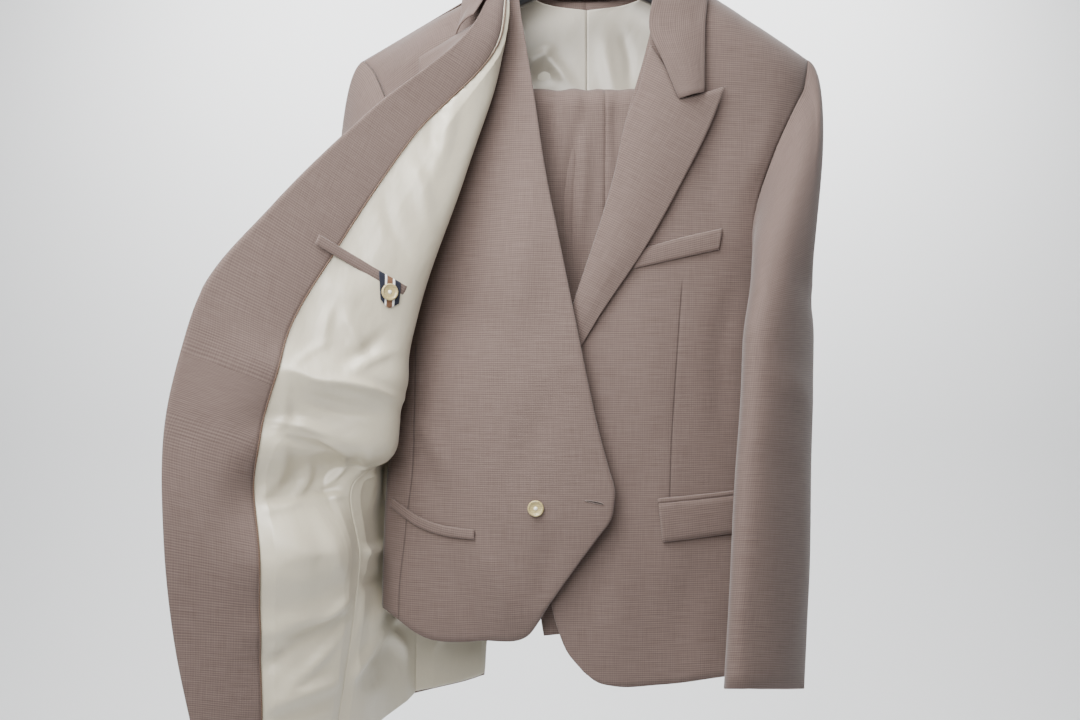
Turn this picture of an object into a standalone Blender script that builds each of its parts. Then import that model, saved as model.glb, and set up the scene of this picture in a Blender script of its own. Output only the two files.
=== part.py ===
"""A three-piece suit on a trouser hanger: jacket, waistcoat and trousers, cut and sewn as separate pieces of cloth.

The jacket hangs on the hanger's arms with its right front swung open, so that the facing and lining show. The
waistcoat hangs inside it, its right front drawn out over the jacket's left front. The trousers lie over the bar.

Frame: +Z up, +Y to the back of the suit, +X to the wearer's left. The origin is the top of the hook's inside,
where it rests on a rail. Tables are in centimetres, and everything that is built is in metres.
"""

from collections import namedtuple

import bmesh
import bpy
import numpy as np

CM = 0.01

# Cloth, in metres
WALL = 0.0015  # suiting with its interlining
LINING_WALL = 0.0010
GAP = 0.0003  # left open at every seam
LINING_GAP = 0.0008  # between the cloth and its lining

# Hanger, in centimetres
HOOK_RADIUS = 2.2
HOOK_WIRE = 0.2  # radius
ARM_HALF_HEIGHT = 1.2
ARM_HALF_DEPTH = 0.7
ARM_HALF_SPAN = 20.3
ARM_SLOPE = 0.6
ARM_CROWN = -6.8
BAR_HEIGHT = -23.9
BAR_RADIUS = 0.55
BAR_HALF_SPAN = 19.3

# Shoulder line of the jacket: height at the neck point, and its fall towards the arm
NECK_X = 8.5
NECK_Z = -10.0
SHOULDER_FALL = 0.614
SHOULDER_ARCH = 5.0  # how far below the seam the cloth has turned to hang straight
SIDE_POWER = 3.2  # how square the body's sections are

# The closed half of the jacket, seen from above as a squared oval
Section = namedtuple("Section", "height half_width front back")
JACKET_SECTIONS = (
    Section(-90.0, 20.2, 6.0, 5.0),
    Section(-82.0, 20.0, 6.0, 5.0),
    Section(-66.0, 19.0, 6.0, 4.8),
    Section(-52.0, 18.6, 6.0, 4.8),
    Section(-42.0, 19.6, 6.0, 5.0),
    Section(-30.0, 21.6, 6.0, 5.0),
    Section(-18.0, 23.0, 5.6, 5.0),
    Section(-5.0, 23.6, 5.4, 5.0),
)
WAISTCOAT_SECTIONS = (
    Section(-90.0, 18.4, 4.6, 3.4),
    Section(-66.0, 18.2, 4.6, 3.4),
    Section(-42.0, 18.6, 4.6, 3.4),
    Section(-18.0, 19.5, 4.4, 3.4),
    Section(-5.0, 20.0, 4.2, 3.2),
)

# Materials: colour, roughness, metallic
SUITING = ((0.26, 0.20, 0.18), 0.9, 0.0)
SATIN = ((0.66, 0.62, 0.54), 0.4, 0.0)
PIPING = ((0.16, 0.08, 0.04), 0.7, 0.0)
HORN = ((0.47, 0.40, 0.20), 0.35, 0.0)
RIBBON = ((0.02, 0.02, 0.03), 0.6, 0.0)
BLACK_WOOD = ((0.01, 0.011, 0.014), 0.35, 0.0)
STEEL = ((0.62, 0.62, 0.63), 0.25, 1.0)


# ---------------------------------------------------------------------------------------------------------------
# Curves, surfaces and walls
# ---------------------------------------------------------------------------------------------------------------
def curve(points, count):
    """count evenly spaced points on a smooth curve: a cubic between each pair, its slopes taken from the neighbours."""
    knots = np.array(points, float)
    at = np.concatenate([[0.0], np.cumsum(np.linalg.norm(np.diff(knots, axis=0), axis=1))])
    slope = np.gradient(knots, at, axis=0)
    where = np.linspace(0.0, at[-1], count)
    k = np.clip(np.searchsorted(at, where, side="right") - 1, 0, len(at) - 2)
    span = (at[k + 1] - at[k])[:, None]
    a = (where - at[k])[:, None] / span
    return (
        (2 * a**3 - 3 * a**2 + 1) * knots[k]
        + (a**3 - 2 * a**2 + a) * span * slope[k]
        + (3 * a**2 - 2 * a**3) * knots[k + 1]
        + (a**3 - a**2) * span * slope[k + 1]
    )


def joined(*pieces):
    """Curves end to end, without their shared points."""
    return np.concatenate([pieces[0]] + [piece[1:] for piece in pieces[1:]])


def closing_in(start, end, count):
    """count points from start to end, closer together towards the end, as rows over a round shoulder are."""
    turn = np.linspace(0.0, np.pi / 2, count)
    way = np.sin(turn)[:, None]
    made = np.array(start, float) * (1 - way) + np.array(end, float) * way
    if made.shape[1] == 3:
        made[:, 1] = end[1] + (start[1] - end[1]) * np.cos(turn)
    return made


def patch(bottom, top, left, right):
    """A surface blended from its four edges (a Coons patch): rows from bottom to top, columns from left to right."""
    v = np.linspace(0.0, 1.0, len(left))[:, None, None]
    u = np.linspace(0.0, 1.0, len(bottom))[None, :, None]
    corners = (
        (1 - u) * (1 - v) * bottom[0] + u * (1 - v) * bottom[-1] + (1 - u) * v * top[0] + u * v * top[-1]
    )
    return (
        (1 - v) * bottom[None] + v * top[None] + (1 - u) * left[:, None] + u * right[:, None] - corners
    )


def normals(grid, loop=False):
    """The outward direction at each point: along the row crossed with up the column."""
    if loop:
        along = np.roll(grid, -1, axis=1) - np.roll(grid, 1, axis=1)
    else:
        along = np.gradient(grid, axis=1)
    out = np.cross(along, np.gradient(grid, axis=0))
    return out / np.maximum(np.linalg.norm(out, axis=2, keepdims=True), 1e-12)


Panel = namedtuple("Panel", "grid out")  # the cloth's outer face, and which way is out at each of its points


def panel(grid, loop=False):
    return Panel(grid, normals(grid, loop))


def moved(piece, distance):
    """The same piece, moved outward by a distance in centimetres: with a negative one, a layer below."""
    return Panel(piece.grid + piece.out * distance, piece.out)


def part_of(piece, rows=slice(None), columns=slice(None)):
    return Panel(piece.grid[rows, columns], piece.out[rows, columns])


def share(first, first_edge, second, second_edge):
    """At a seam both pieces face the same way, so that their walls meet in a mitre."""
    mean = first.out[first_edge] + second.out[second_edge]
    mean /= np.linalg.norm(mean, axis=-1, keepdims=True)
    first.out[first_edge] = mean
    second.out[second_edge] = mean


def inset(piece, left=0.0, right=0.0, bottom=0.0, top=0.0):
    """The piece with its edges drawn in by these distances, in centimetres, as at a seam."""
    grid = piece.grid.copy()
    for edge, inner, distance in (
        ((slice(None), 0), (slice(None), 1), left),
        ((slice(None), -1), (slice(None), -2), right),
        ((0,), (1,), bottom),
        ((-1,), (-2,), top),
    ):
        way = grid[inner] - grid[edge]
        length = np.maximum(np.linalg.norm(way, axis=-1, keepdims=True), 1e-9)
        grid[edge] = grid[edge] + way / length * np.minimum(distance, 0.45 * length)
    return Panel(grid, piece.out)


def section_of(table, column, height):
    rows = sorted(table)
    return np.interp(height, [row.height for row in rows], [getattr(row, column) for row in rows])


def on_body(flat, table, side, drop=0.0, proud=0.0):
    """Puts (x, z) points on the garment's front (side -1) or back (+1). Its sections are squared ovals, and below
    the shoulder line, lowered by drop, they swell over a quarter ellipse. proud stands the cloth off by that much."""
    x, z = flat[..., 0], flat[..., 1]
    across = np.clip(np.abs(x) / section_of(table, "half_width", z), 0.0, 1.0)
    square = np.sqrt(1 - across**SIDE_POWER)
    below = NECK_Z - drop - SHOULDER_FALL * (np.abs(x) - NECK_X) - z
    arch = np.sqrt(1 - (1 - np.clip(below / SHOULDER_ARCH, 0.0, 1.0)) ** 2)
    depth = section_of(table, "front" if side < 0 else "back", z)
    return np.stack([x, side * (depth * square * arch + proud), z], axis=-1)


def material(name, finish):
    colour, roughness, metallic = finish
    made = bpy.data.materials.new(name)
    made.use_nodes = True
    shader = made.node_tree.nodes["Principled BSDF"]
    shader.inputs["Base Color"].default_value = (*colour, 1.0)
    shader.inputs["Roughness"].default_value = roughness
    shader.inputs["Metallic"].default_value = metallic
    return made


def add(name, mesh, finish):
    mesh.materials.append(MATERIALS[finish])
    mesh.shade_smooth()
    made = bpy.data.objects.new(name, mesh)
    bpy.context.scene.collection.objects.link(made)
    return made


def cloth(name, piece, finish="suiting", wall=WALL, loop=False):
    """One piece of cloth: an outer face, the same face moved inwards by the wall, and a rim round every free edge.
    Every square is cut along the same diagonal, so that layers made from one surface stay parallel."""
    rows, columns = piece.grid.shape[:2]
    points = np.concatenate([(piece.grid * CM).reshape(-1, 3), (piece.grid * CM - piece.out * wall).reshape(-1, 3)])
    below = rows * columns
    around = [(j, (j + 1) % columns) for j in range(columns if loop else columns - 1)]
    faces = []
    for i in range(rows - 1):
        for j, k in around:
            a, b, c, d = i * columns + j, i * columns + k, (i + 1) * columns + k, (i + 1) * columns + j
            faces += [(a, b, c), (a, c, d), (c + below, b + below, a + below), (d + below, c + below, a + below)]
    for j, k in around:
        top = (rows - 1) * columns
        faces.append((k, j, j + below, k + below))
        faces.append((top + j, top + k, top + k + below, top + j + below))
    if not loop:
        for i in range(rows - 1):
            low, high = i * columns, (i + 1) * columns
            faces.append((low, high, high + below, low + below))
            last = columns - 1
            faces.append((high + last, low + last, low + last + below, high + last + below))
    mesh = bpy.data.meshes.new(name)
    mesh.from_pydata(points.tolist(), [], faces)
    return add(name, mesh, finish)


def mirrored(grid):
    """The same surface for the wearer's other side, its columns turned round so that it still faces out."""
    return grid[:, ::-1] * np.array([-1.0, 1.0, 1.0])


def button(name, centre, facing, radius, thickness, finish="horn", sides=14):
    """A turned button: a disc with a rim, seated on the cloth at centre and facing outwards."""
    profile = ((1.0, 0.0), (1.0, 0.75), (0.86, 1.0), (0.70, 0.72), (0.0, 0.72))
    made = bmesh.new()
    rings = []
    for share, height in profile[:-1]:
        turn = np.linspace(0.0, 2 * np.pi, sides, endpoint=False)
        rings.append(
            [made.verts.new((radius * share * np.cos(a), radius * share * np.sin(a), thickness * height)) for a in turn]
        )
    for lower, upper in zip(rings, rings[1:]):
        for k in range(sides):
            m = (k + 1) % sides
            made.faces.new((lower[k], lower[m], upper[m], upper[k]))
    made.faces.new(rings[0][::-1])
    made.faces.new(rings[-1])
    mesh = bpy.data.meshes.new(name)
    made.to_mesh(mesh)
    made.free()
    built = add(name, mesh, finish)
    out = np.array(facing, float) / np.linalg.norm(facing)
    side = np.cross(out, (0.0, 0.0, 1.0))
    side /= np.linalg.norm(side)
    up = np.cross(side, out)
    for vertex in mesh.vertices:
        x, y, z = vertex.co
        vertex.co = tuple((np.array(centre) + (GAP / CM + z) * out + x * -side + y * up) * CM)
    return built


def tube(name, points, radius, finish, resolution=3):
    """A round bar or wire along a smooth curve, with flat ends."""
    data = bpy.data.curves.new(name, "CURVE")
    data.dimensions = "3D"
    data.bevel_depth = radius * CM
    data.bevel_resolution = resolution
    data.use_fill_caps = True
    line = data.splines.new("POLY")
    line.points.add(len(points) - 1)
    for at, point in zip(line.points, points):
        at.co = (*(np.array(point) * CM), 1.0)
    made = bpy.data.objects.new(name, data)
    data.materials.append(MATERIALS[finish])
    bpy.context.scene.collection.objects.link(made)
    return made


def between(points, steps):
    """The same smooth curve, with a set number of steps from each point to the next, so that the points stay on it."""
    knots = np.array(points, float)
    at = np.concatenate([[0.0], np.cumsum(np.maximum(np.linalg.norm(np.diff(knots, axis=0), axis=1), 1e-6))])
    slope = np.gradient(knots, at, axis=0)
    parts = [knots[:1]]
    for k, count in enumerate(steps):
        span = at[k + 1] - at[k]
        a = np.linspace(0.0, 1.0, count + 1)[1:, None]
        parts.append(
            (2 * a**3 - 3 * a**2 + 1) * knots[k]
            + (a**3 - 2 * a**2 + a) * span * slope[k]
            + (3 * a**2 - 2 * a**3) * knots[k + 1]
            + (a**3 - a**2) * span * slope[k + 1]
        )
    return np.concatenate(parts)


def woven_through(table, row_steps, column_steps):
    """A surface through a table of points, with a set number of steps between its rows and its columns."""
    table = np.array(table, float)
    down = np.stack([between(table[:, k], row_steps) for k in range(table.shape[1])], axis=1)
    return np.stack([between(row, column_steps) for row in down])


def at(grid, row, column):
    """The point of a grid at a fractional row and column."""
    i = int(np.clip(np.floor(row), 0, grid.shape[0] - 2))
    j = int(np.clip(np.floor(column), 0, grid.shape[1] - 2))
    v, u = row - i, column - j
    return (
        grid[i, j] * (1 - u) * (1 - v) + grid[i, j + 1] * u * (1 - v) + grid[i + 1, j] * (1 - u) * v + grid[i + 1, j + 1] * u * v
    )


def place(grid, x, z):
    """The fractional (row, column) of the point that is nearest to (x, z), seen from the front."""
    last = np.array(grid.shape[:2]) - 1.0
    found, reach = last / 2, last / 2
    for steps in (25, 7, 7, 7):
        tries = [
            np.clip(found + reach * np.array((a, b)), 0.0, last)
            for a in np.linspace(-1, 1, steps)
            for b in np.linspace(-1, 1, steps)
        ]
        found = min(tries, key=lambda spot: float(np.hypot(*(at(grid, *spot)[[0, 2]] - (x, z)))))
        reach = reach * 2.0 / (steps - 1)
    return found


def strip_on(on, lower, upper, proud):
    """A narrow piece on a panel, between two rows of (x, z) places."""
    out = moved(on, proud).grid
    return panel(np.array([[at(out, *place(on.grid, *spot)) for spot in row] for row in (lower, upper)]))


def turned(piece):
    """The same cloth seen from its other side."""
    return Panel(piece.grid[:, ::-1], -piece.out[:, ::-1])


def seat(on, x, z, proud):
    """A place on a panel for a button, and which way it faces."""
    spot = place(on.grid, x, z)
    out = at(on.out, *spot)
    out /= np.linalg.norm(out)
    return at(on.grid, *spot) + out * proud, out


# ---------------------------------------------------------------------------------------------------------------
# Start from an empty scene
# ---------------------------------------------------------------------------------------------------------------
for old in list(bpy.data.objects):
    bpy.data.objects.remove(old, do_unlink=True)

MATERIALS = {
    "suiting": material("suiting", SUITING),
    "satin": material("satin", SATIN),
    "piping": material("piping", PIPING),
    "horn": material("horn", HORN),
    "ribbon": material("ribbon", RIBBON),
    "wood": material("black_wood", BLACK_WOOD),
    "steel": material("steel", STEEL),
}

# ---------------------------------------------------------------------------------------------------------------
# Hanger: a flattened arm piece, a bar for the trousers on two struts, and a wire hook
# ---------------------------------------------------------------------------------------------------------------
reach = np.linspace(-ARM_HALF_SPAN, ARM_HALF_SPAN, 21)
arm_line = np.stack([reach, 0 * reach, ARM_CROWN - ARM_SLOPE * np.sqrt(reach**2 + 5.0**2)], axis=1)
turn = np.linspace(0.0, 2 * np.pi, 10, endpoint=False) + np.pi / 10
made = bmesh.new()
rings = [
    [
        made.verts.new(
            (x * CM, y * CM + ARM_HALF_DEPTH * CM * np.cos(a), z * CM + ARM_HALF_HEIGHT * CM * np.sin(a))
        )
        for a in turn
    ]
    for x, y, z in arm_line
]
for near, far in zip(rings, rings[1:]):
    for k in range(len(turn)):
        m = (k + 1) % len(turn)
        made.faces.new((near[k], near[m], far[m], far[k]))
made.faces.new(rings[0][::-1])
made.faces.new(rings[-1])
mesh = bpy.data.meshes.new("hanger_arms")
made.to_mesh(mesh)
made.free()
add("hanger_arms", mesh, "wood")

arm_top = ARM_CROWN - ARM_SLOPE * 5.0 + ARM_HALF_HEIGHT
middle = HOOK_RADIUS + HOOK_WIRE
bend = np.radians(np.linspace(205.0, -50.0, 16))
loop = [(middle * np.cos(a), 0.0, -HOOK_RADIUS + middle * np.sin(a)) for a in bend]
stem = [loop[-1], (0.35, 0.0, -5.1), (0.0, 0.0, -6.3), (0.0, 0.0, arm_top + 0.03)]
stem = [tuple(point) for point in curve(stem, 7)[1:]]
tube("hanger_hook", loop + stem, HOOK_WIRE, "steel")

arm_under = ARM_CROWN - ARM_SLOPE * np.hypot(BAR_HALF_SPAN + BAR_RADIUS, 5.0) - ARM_HALF_HEIGHT - 0.05
corner = [(-BAR_HALF_SPAN, 0.0, arm_under)] + [
    (-BAR_HALF_SPAN + 1.2 - 1.2 * np.cos(a), 0.0, BAR_HEIGHT + 1.2 - 1.2 * np.sin(a)) for a in np.radians((0, 30, 60, 90))
]
tube("hanger_bar", corner + [(-x, y, z) for x, y, z in corner[::-1]], BAR_RADIUS, "steel")

# ---------------------------------------------------------------------------------------------------------------
# Jacket, left half: front, side panel and back, hanging closed
# ---------------------------------------------------------------------------------------------------------------
LOWER = 8  # steps from the hem up to the underarm, the same on every panel so that the seams meet
UPPER = 4  # along the armhole
OVER = 3  # over the shoulder

front_edge = joined(
    curve(
        ((-0.8, -79.7), (-2.3, -77.9), (-3.2, -75.7), (-3.9, -73.0), (-4.2, -62.0), (-4.1, -53.5), (-2.7, -48.2), (-1.8, -44.2)),
        LOWER + 1,
    ),
    curve(((-1.8, -44.2), (0.3, -37.9), (2.2, -31.6), (3.3, -26.5), (5.1, -20.3), (6.6, -14.2)), UPPER + 1),
    curve(((6.6, -14.2), (7.0, -12.4), (7.6, -11.0), (NECK_X, NECK_Z)), OVER + 1),
)
front_seam = joined(
    curve(((16.8, -80.2), (16.5, -66.0), (15.8, -52.0), (16.2, -42.0), (16.2, -39.0)), LOWER + 1),
    curve(((16.2, -39.0), (16.1, -36.5), (16.5, -33.7), (17.9, -29.6), (20.1, -24.9), (21.6, -22.2)), UPPER + 1),
    closing_in((21.6, -22.2), (22.5, -18.6), OVER + 1),
)
hem = curve(((-0.8, -79.7), (0.5, -80.7), (2.2, -81.1), (6.5, -81.0), (12.0, -80.5), (16.8, -80.2)), 7)
shoulder = np.linspace((NECK_X, NECK_Z), (22.5, -18.6), 7)
left_front = panel(on_body(patch(hem, shoulder, front_edge, front_seam), JACKET_SECTIONS, -1))

back_seam = joined(
    curve(((17.2, -83.2), (16.9, -66.0), (16.4, -52.0), (17.0, -42.0), (17.2, -39.0)), LOWER + 1),
    curve(((17.2, -39.0), (17.3, -36.5), (17.7, -31.0), (19.7, -25.5), (21.5, -22.2)), UPPER + 1),
    closing_in((21.5, -22.2), (22.5, -18.6), OVER + 1),
)
centre_seam = joined(
    curve(((0.0, -83.5), (0.0, -60.0), (0.0, -39.0)), LOWER + 1),
    curve(((0.0, -39.0), (0.0, -28.0), (0.0, -17.0)), UPPER + 1),
    curve(((0.0, -17.0), (0.0, -13.0), (0.0, -10.8)), OVER + 1),
)
back_neck = curve(((NECK_X, NECK_Z), (6.2, -10.3), (3.0, -10.7), (0.0, -10.8)), 3)
back_top = joined(np.linspace((22.5, -18.6), (NECK_X, NECK_Z), 5), back_neck)
back_hem = curve(((17.2, -83.2), (8.0, -83.6), (0.0, -83.5)), 7)
back_flat = patch(back_hem, back_top, back_seam, centre_seam)
left_back = panel(on_body(back_flat, JACKET_SECTIONS, 1))


def side_panel(front, back, dip, columns):
    """The panel under the arm, round the squared oval from the front's seam to the back's. Its top dips by dip."""
    near, far = [
        np.sqrt(np.maximum(1 - (seam[:, 0] / section_of(JACKET_SECTIONS, "half_width", seam[:, 2])) ** SIDE_POWER, 0))
        for seam in (front, back)
    ]
    t = np.linspace(0.0, 1.0, columns)[None, :]
    rise = (np.arange(len(front)) / (len(front) - 1))[:, None]
    around = -near[:, None] * (1 - t) + far[:, None] * t
    z = front[:, 2:] * (1 - t) + back[:, 2:] * t - dip * 4 * t * (1 - t) * rise**4
    x = section_of(JACKET_SECTIONS, "half_width", z) * (1 - around**2) ** (1 / SIDE_POWER)
    deep = np.where(around < 0, section_of(JACKET_SECTIONS, "front", z), section_of(JACKET_SECTIONS, "back", z))
    return np.stack([x, around * deep, z], axis=-1)


TO_UNDERARM = slice(0, LOWER + 1)
SHOULDER = slice(0, 5)  # the shoulder seam's columns on the back, from the arm to the neck
RIDGE = np.array((0.52, 0.0, 0.85))  # which way the left shoulder seam faces
left_side = panel(side_panel(left_front.grid[TO_UNDERARM, -1], left_back.grid[TO_UNDERARM, 0], 2.2, 6))
share(left_front, (TO_UNDERARM, -1), left_side, (slice(None), 0))
share(left_side, (slice(None), -1), left_back, (TO_UNDERARM, 0))
left_front.out[-1] = RIDGE
left_back.out[-1, SHOULDER] = RIDGE
cloth("jacket_left_front", inset(left_front, right=0.02, top=0.03))
cloth("jacket_left_side", inset(left_side, left=0.02, right=0.02))
cloth("jacket_back_left", inset(left_back, left=0.02, right=0.02, top=0.03))

# The lapel, folded back at the roll line, its peak pointing up and out
roll = between(
    ((-3.9, -53.0), (-1.8, -44.2), (0.3, -37.9), (2.2, -31.6), (3.3, -26.5), (4.5, -23.3), (5.7, -18.9)),
    (2, 2, 2, 1, 1, 1),
)
lapel_edge = between(
    ((-3.0, -51.6), (0.3, -45.9), (5.6, -37.9), (8.9, -31.9), (11.4, -26.9), (13.0, -22.95)), (2, 2, 2, 2, 1)
)
lapel_top = between(((5.7, -18.9), (7.6, -22.3), (8.4, -24.4), (10.9, -23.7), (13.0, -22.95)), (1, 1, 1, 1))
lapel_foot = np.linspace((-3.9, -53.0), (-3.0, -51.6), 5)
width = np.minimum(1.0, np.hypot(*(lapel_edge - roll).T) / 5.0)[:, None]
stand_off = 0.28 + width * np.array((0.0, 0.47, 0.57, 0.47, 0.32))[None, :]
left_lapel = panel(
    on_body(patch(lapel_foot, lapel_top, roll, lapel_edge), JACKET_SECTIONS, -1, proud=stand_off)
)
cloth("left_lapel", left_lapel)

# ---------------------------------------------------------------------------------------------------------------
# Jacket, right half: the back hangs, and the front is swung open, so that beyond its fold its inside faces out
# ---------------------------------------------------------------------------------------------------------------
# Rows of the right front, from the hem to the shoulder seam: the side seam, the chest between it and the fold, the
# fold itself, the piping line, and the front edge with the roll line above it
Open = namedtuple("Open", "seam chest fold piping edge")
OPEN_ROWS = (
    Open((-24.7, -8.4, -85.9), (-26.2, -9.8, -86.1), (-27.8, -11.0, -86.1), (-30.2, -12.4, -85.7), (-35.0, -15.0, -84.0)),
    Open((-22.9, -8.5, -73.9), (-24.7, -10.2, -74.6), (-26.8, -11.8, -74.8), (-30.0, -13.6, -74.6), (-36.6, -16.2, -73.6)),
    Open((-22.3, -8.6, -68.3), (-24.3, -10.6, -68.2), (-26.6, -12.6, -67.9), (-29.9, -14.6, -67.0), (-37.0, -17.4, -65.0)),
    Open((-22.7, -8.6, -60.8), (-24.4, -10.9, -59.8), (-26.4, -13.0, -58.6), (-29.6, -15.2, -56.6), (-36.6, -17.8, -53.8)),
    Open((-20.0, -6.9, -58.6), (-19.8, -7.6, -58.4), (-19.5, -8.3, -58.1), (-28.6, -14.8, -51.8), (-35.5, -17.6, -48.8)),
    Open((-20.7, -5.0, -49.5), (-19.5, -6.9, -51.2), (-18.7, -8.5, -51.9), (-27.4, -14.2, -47.1), (-34.0, -17.2, -43.9)),
    Open((-18.2, -3.5, -39.5), (-17.5, -5.8, -42.2), (-17.0, -8.5, -44.0), (-23.4, -12.5, -39.4), (-28.4, -15.0, -36.0)),
    Open((-17.2, -4.2, -31.5), (-14.8, -6.0, -31.8), (-12.9, -8.0, -32.0), (-17.1, -10.0, -29.1), (-20.4, -11.5, -26.7)),
    Open((-19.7, -3.5, -25.3), (-14.4, -5.4, -23.0), (-9.3, -6.0, -19.2), (-9.2, -6.6, -18.4), (-11.2, -7.5, -17.3)),
    Open((-21.2, -2.0, -21.6), (-16.0, -4.9, -18.6), (-8.8, -4.8, -14.9), (-8.8, -5.3, -14.6), (-9.9, -5.5, -13.9)),
    Open((-22.1, -1.1, -19.9), (-16.3, -3.2, -16.4), (-9.4, -3.0, -12.2), (-9.0, -3.2, -11.9), (-9.1, -3.3, -11.5)),
    Open((-23.2, 0.0, -18.7), (-16.6, 0.0, -14.8), (-10.4, 0.0, -11.2), (-9.6, -0.1, -10.6), (-8.7, -0.1, -10.1)),
)
ROW_STEPS = (1, 1, 2, 1, 1, 2, 2, 2, 1, 1, 1)
COLUMN_STEPS = (2, 2, 3, 3)
PIPING_COLUMN = sum(COLUMN_STEPS[:3])
right_front = panel(woven_through([list(row) for row in OPEN_ROWS], ROW_STEPS, COLUMN_STEPS))

# The back is the left one's mirror image, but wider at the shoulder, further out below the waist, and open at the
# vent, where its centre edge hangs aside
grid = mirrored(on_body(back_flat, JACKET_SECTIONS, 1))
below_waist = np.clip((-45.0 - grid[..., 2]) / 12.0, 0.0, 1.0)
above = np.clip((grid[..., 2] + 45.0) / 12.0, 0.0, 1.0)
aside = np.linspace(1.0, 0.0, grid.shape[1])[None, :] ** 1.3
gape = np.interp(grid[:, 0, 2], (-83.5, -80.0, -72.0, -60.0, -56.0), (-11.0, -10.8, -9.0, -2.0, 0.0))[:, None]
grid[..., 0] += 0.03 * above * grid[..., 0] - 1.4 * below_waist * (grid[..., 0] / 18.0) ** 2 + gape * aside
low = np.clip((-70.0 - grid[..., 2]) / 13.5, 0.0, 1.0)
grid[..., 2] -= 1.7 * low * np.linspace(0.0, 1.0, grid.shape[1])[None, :] ** 1.5
right_back = panel(grid)

# The side panel is drawn forward by the open front
Under = namedtuple("Under", "back_third front_third")
UNDER_ROWS = (
    Under((-21.2, -1.6, -85.8), (-22.8, -5.6, -86.0)),
    Under((-21.4, -1.8, -75.2), (-22.2, -5.6, -74.6)),
    Under((-21.5, -1.8, -69.2), (-22.0, -5.6, -68.7)),
    Under((-21.3, -1.4, -60.2), (-21.8, -5.6, -60.4)),
    Under((-20.4, -0.6, -57.4), (-20.6, -4.2, -57.8)),
    Under((-20.6, 1.0, -49.8), (-21.2, -2.2, -49.8)),
    Under((-20.2, 1.4, -41.3), (-20.2, -1.4, -41.3)),
)
inner = [between([getattr(row, name) for row in UNDER_ROWS], ROW_STEPS[:6]) for name in Under._fields]
knots = np.stack([right_back.grid[TO_UNDERARM, -1], *inner, right_front.grid[TO_UNDERARM, 0]], axis=1)
right_side = panel(np.stack([between(row, (2, 1, 2)) for row in knots]))
share(right_back, (TO_UNDERARM, -1), right_side, (slice(None), 0))
share(right_side, (slice(None), -1), right_front, (TO_UNDERARM, 0))
ridge = RIDGE * np.array((-1.0, 1.0, 1.0))
right_back.out[-1, -5:] = ridge
right_front.out[-1] = ridge
cloth("jacket_right_front", inset(right_front, left=0.05, top=0.03))
cloth("jacket_right_side", inset(right_side, left=0.02, right=0.05))
cloth("jacket_back_right", inset(right_back, left=0.02, right=0.02, top=0.03))

# What lies inside: the facing from the front edge to the piping, and the lining from there round to the vent
UNDER = (WALL + LINING_GAP) / CM
DEEPER = UNDER + (LINING_WALL + LINING_GAP) / CM
cloth("right_facing", inset(part_of(moved(right_front, -UNDER), columns=slice(PIPING_COLUMN, None)), left=0.03, bottom=0.3, top=0.5), wall=LINING_WALL)
lining = part_of(moved(right_front, -UNDER), columns=slice(0, PIPING_COLUMN + 1))
cloth("right_front_lining", inset(lining, left=0.03, right=0.03, bottom=1.6, top=0.06), "satin", LINING_WALL)
line = moved(right_front, -DEEPER - 0.1).grid[:-1, PIPING_COLUMN]
tube("facing_piping", line, 0.09, "piping", 1)
lining = moved(right_side, -UNDER - 0.04)
cloth("right_side_lining", inset(lining, left=0.03, right=0.03, bottom=1.6), "satin", LINING_WALL)
lining = part_of(moved(right_back, -UNDER), slice(0, -1))
cloth("right_back_lining", inset(lining, left=0.15, right=0.03, bottom=0.6), "satin", LINING_WALL)

# The right lapel is still folded back at the roll line, so it hides behind the open front, all but its peak
BREAK, GORGE = 6, 12  # rows of the right front
Row = namedtuple("Row", "x y z")
LAPEL_OUTER = (
    Row(-33.0, -16.0, -44.8),
    Row(-25.0, -12.6, -38.6),
    Row(-17.6, -8.6, -30.6),
    Row(-16.6, -6.8, -25.2),
    Row(-16.8, -5.7, -20.1),
)
fold_line = part_of(right_front, slice(BREAK, GORGE + 1), slice(-2, None))
beyond = fold_line.grid[:, 1] - fold_line.grid[:, 0]
beyond /= np.linalg.norm(beyond, axis=1, keepdims=True)
near = fold_line.grid[:, 1] + 0.35 * fold_line.out[:, 1] + 0.05 * beyond
far = between([list(row) for row in LAPEL_OUTER], (2, 2, 1, 1))
across = np.linspace(0.0, 1.0, 4)[None, :, None]
right_lapel = panel(far[:, None] * (1 - across) + near[:, None] * across)
cloth("right_lapel", right_lapel)

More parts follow.
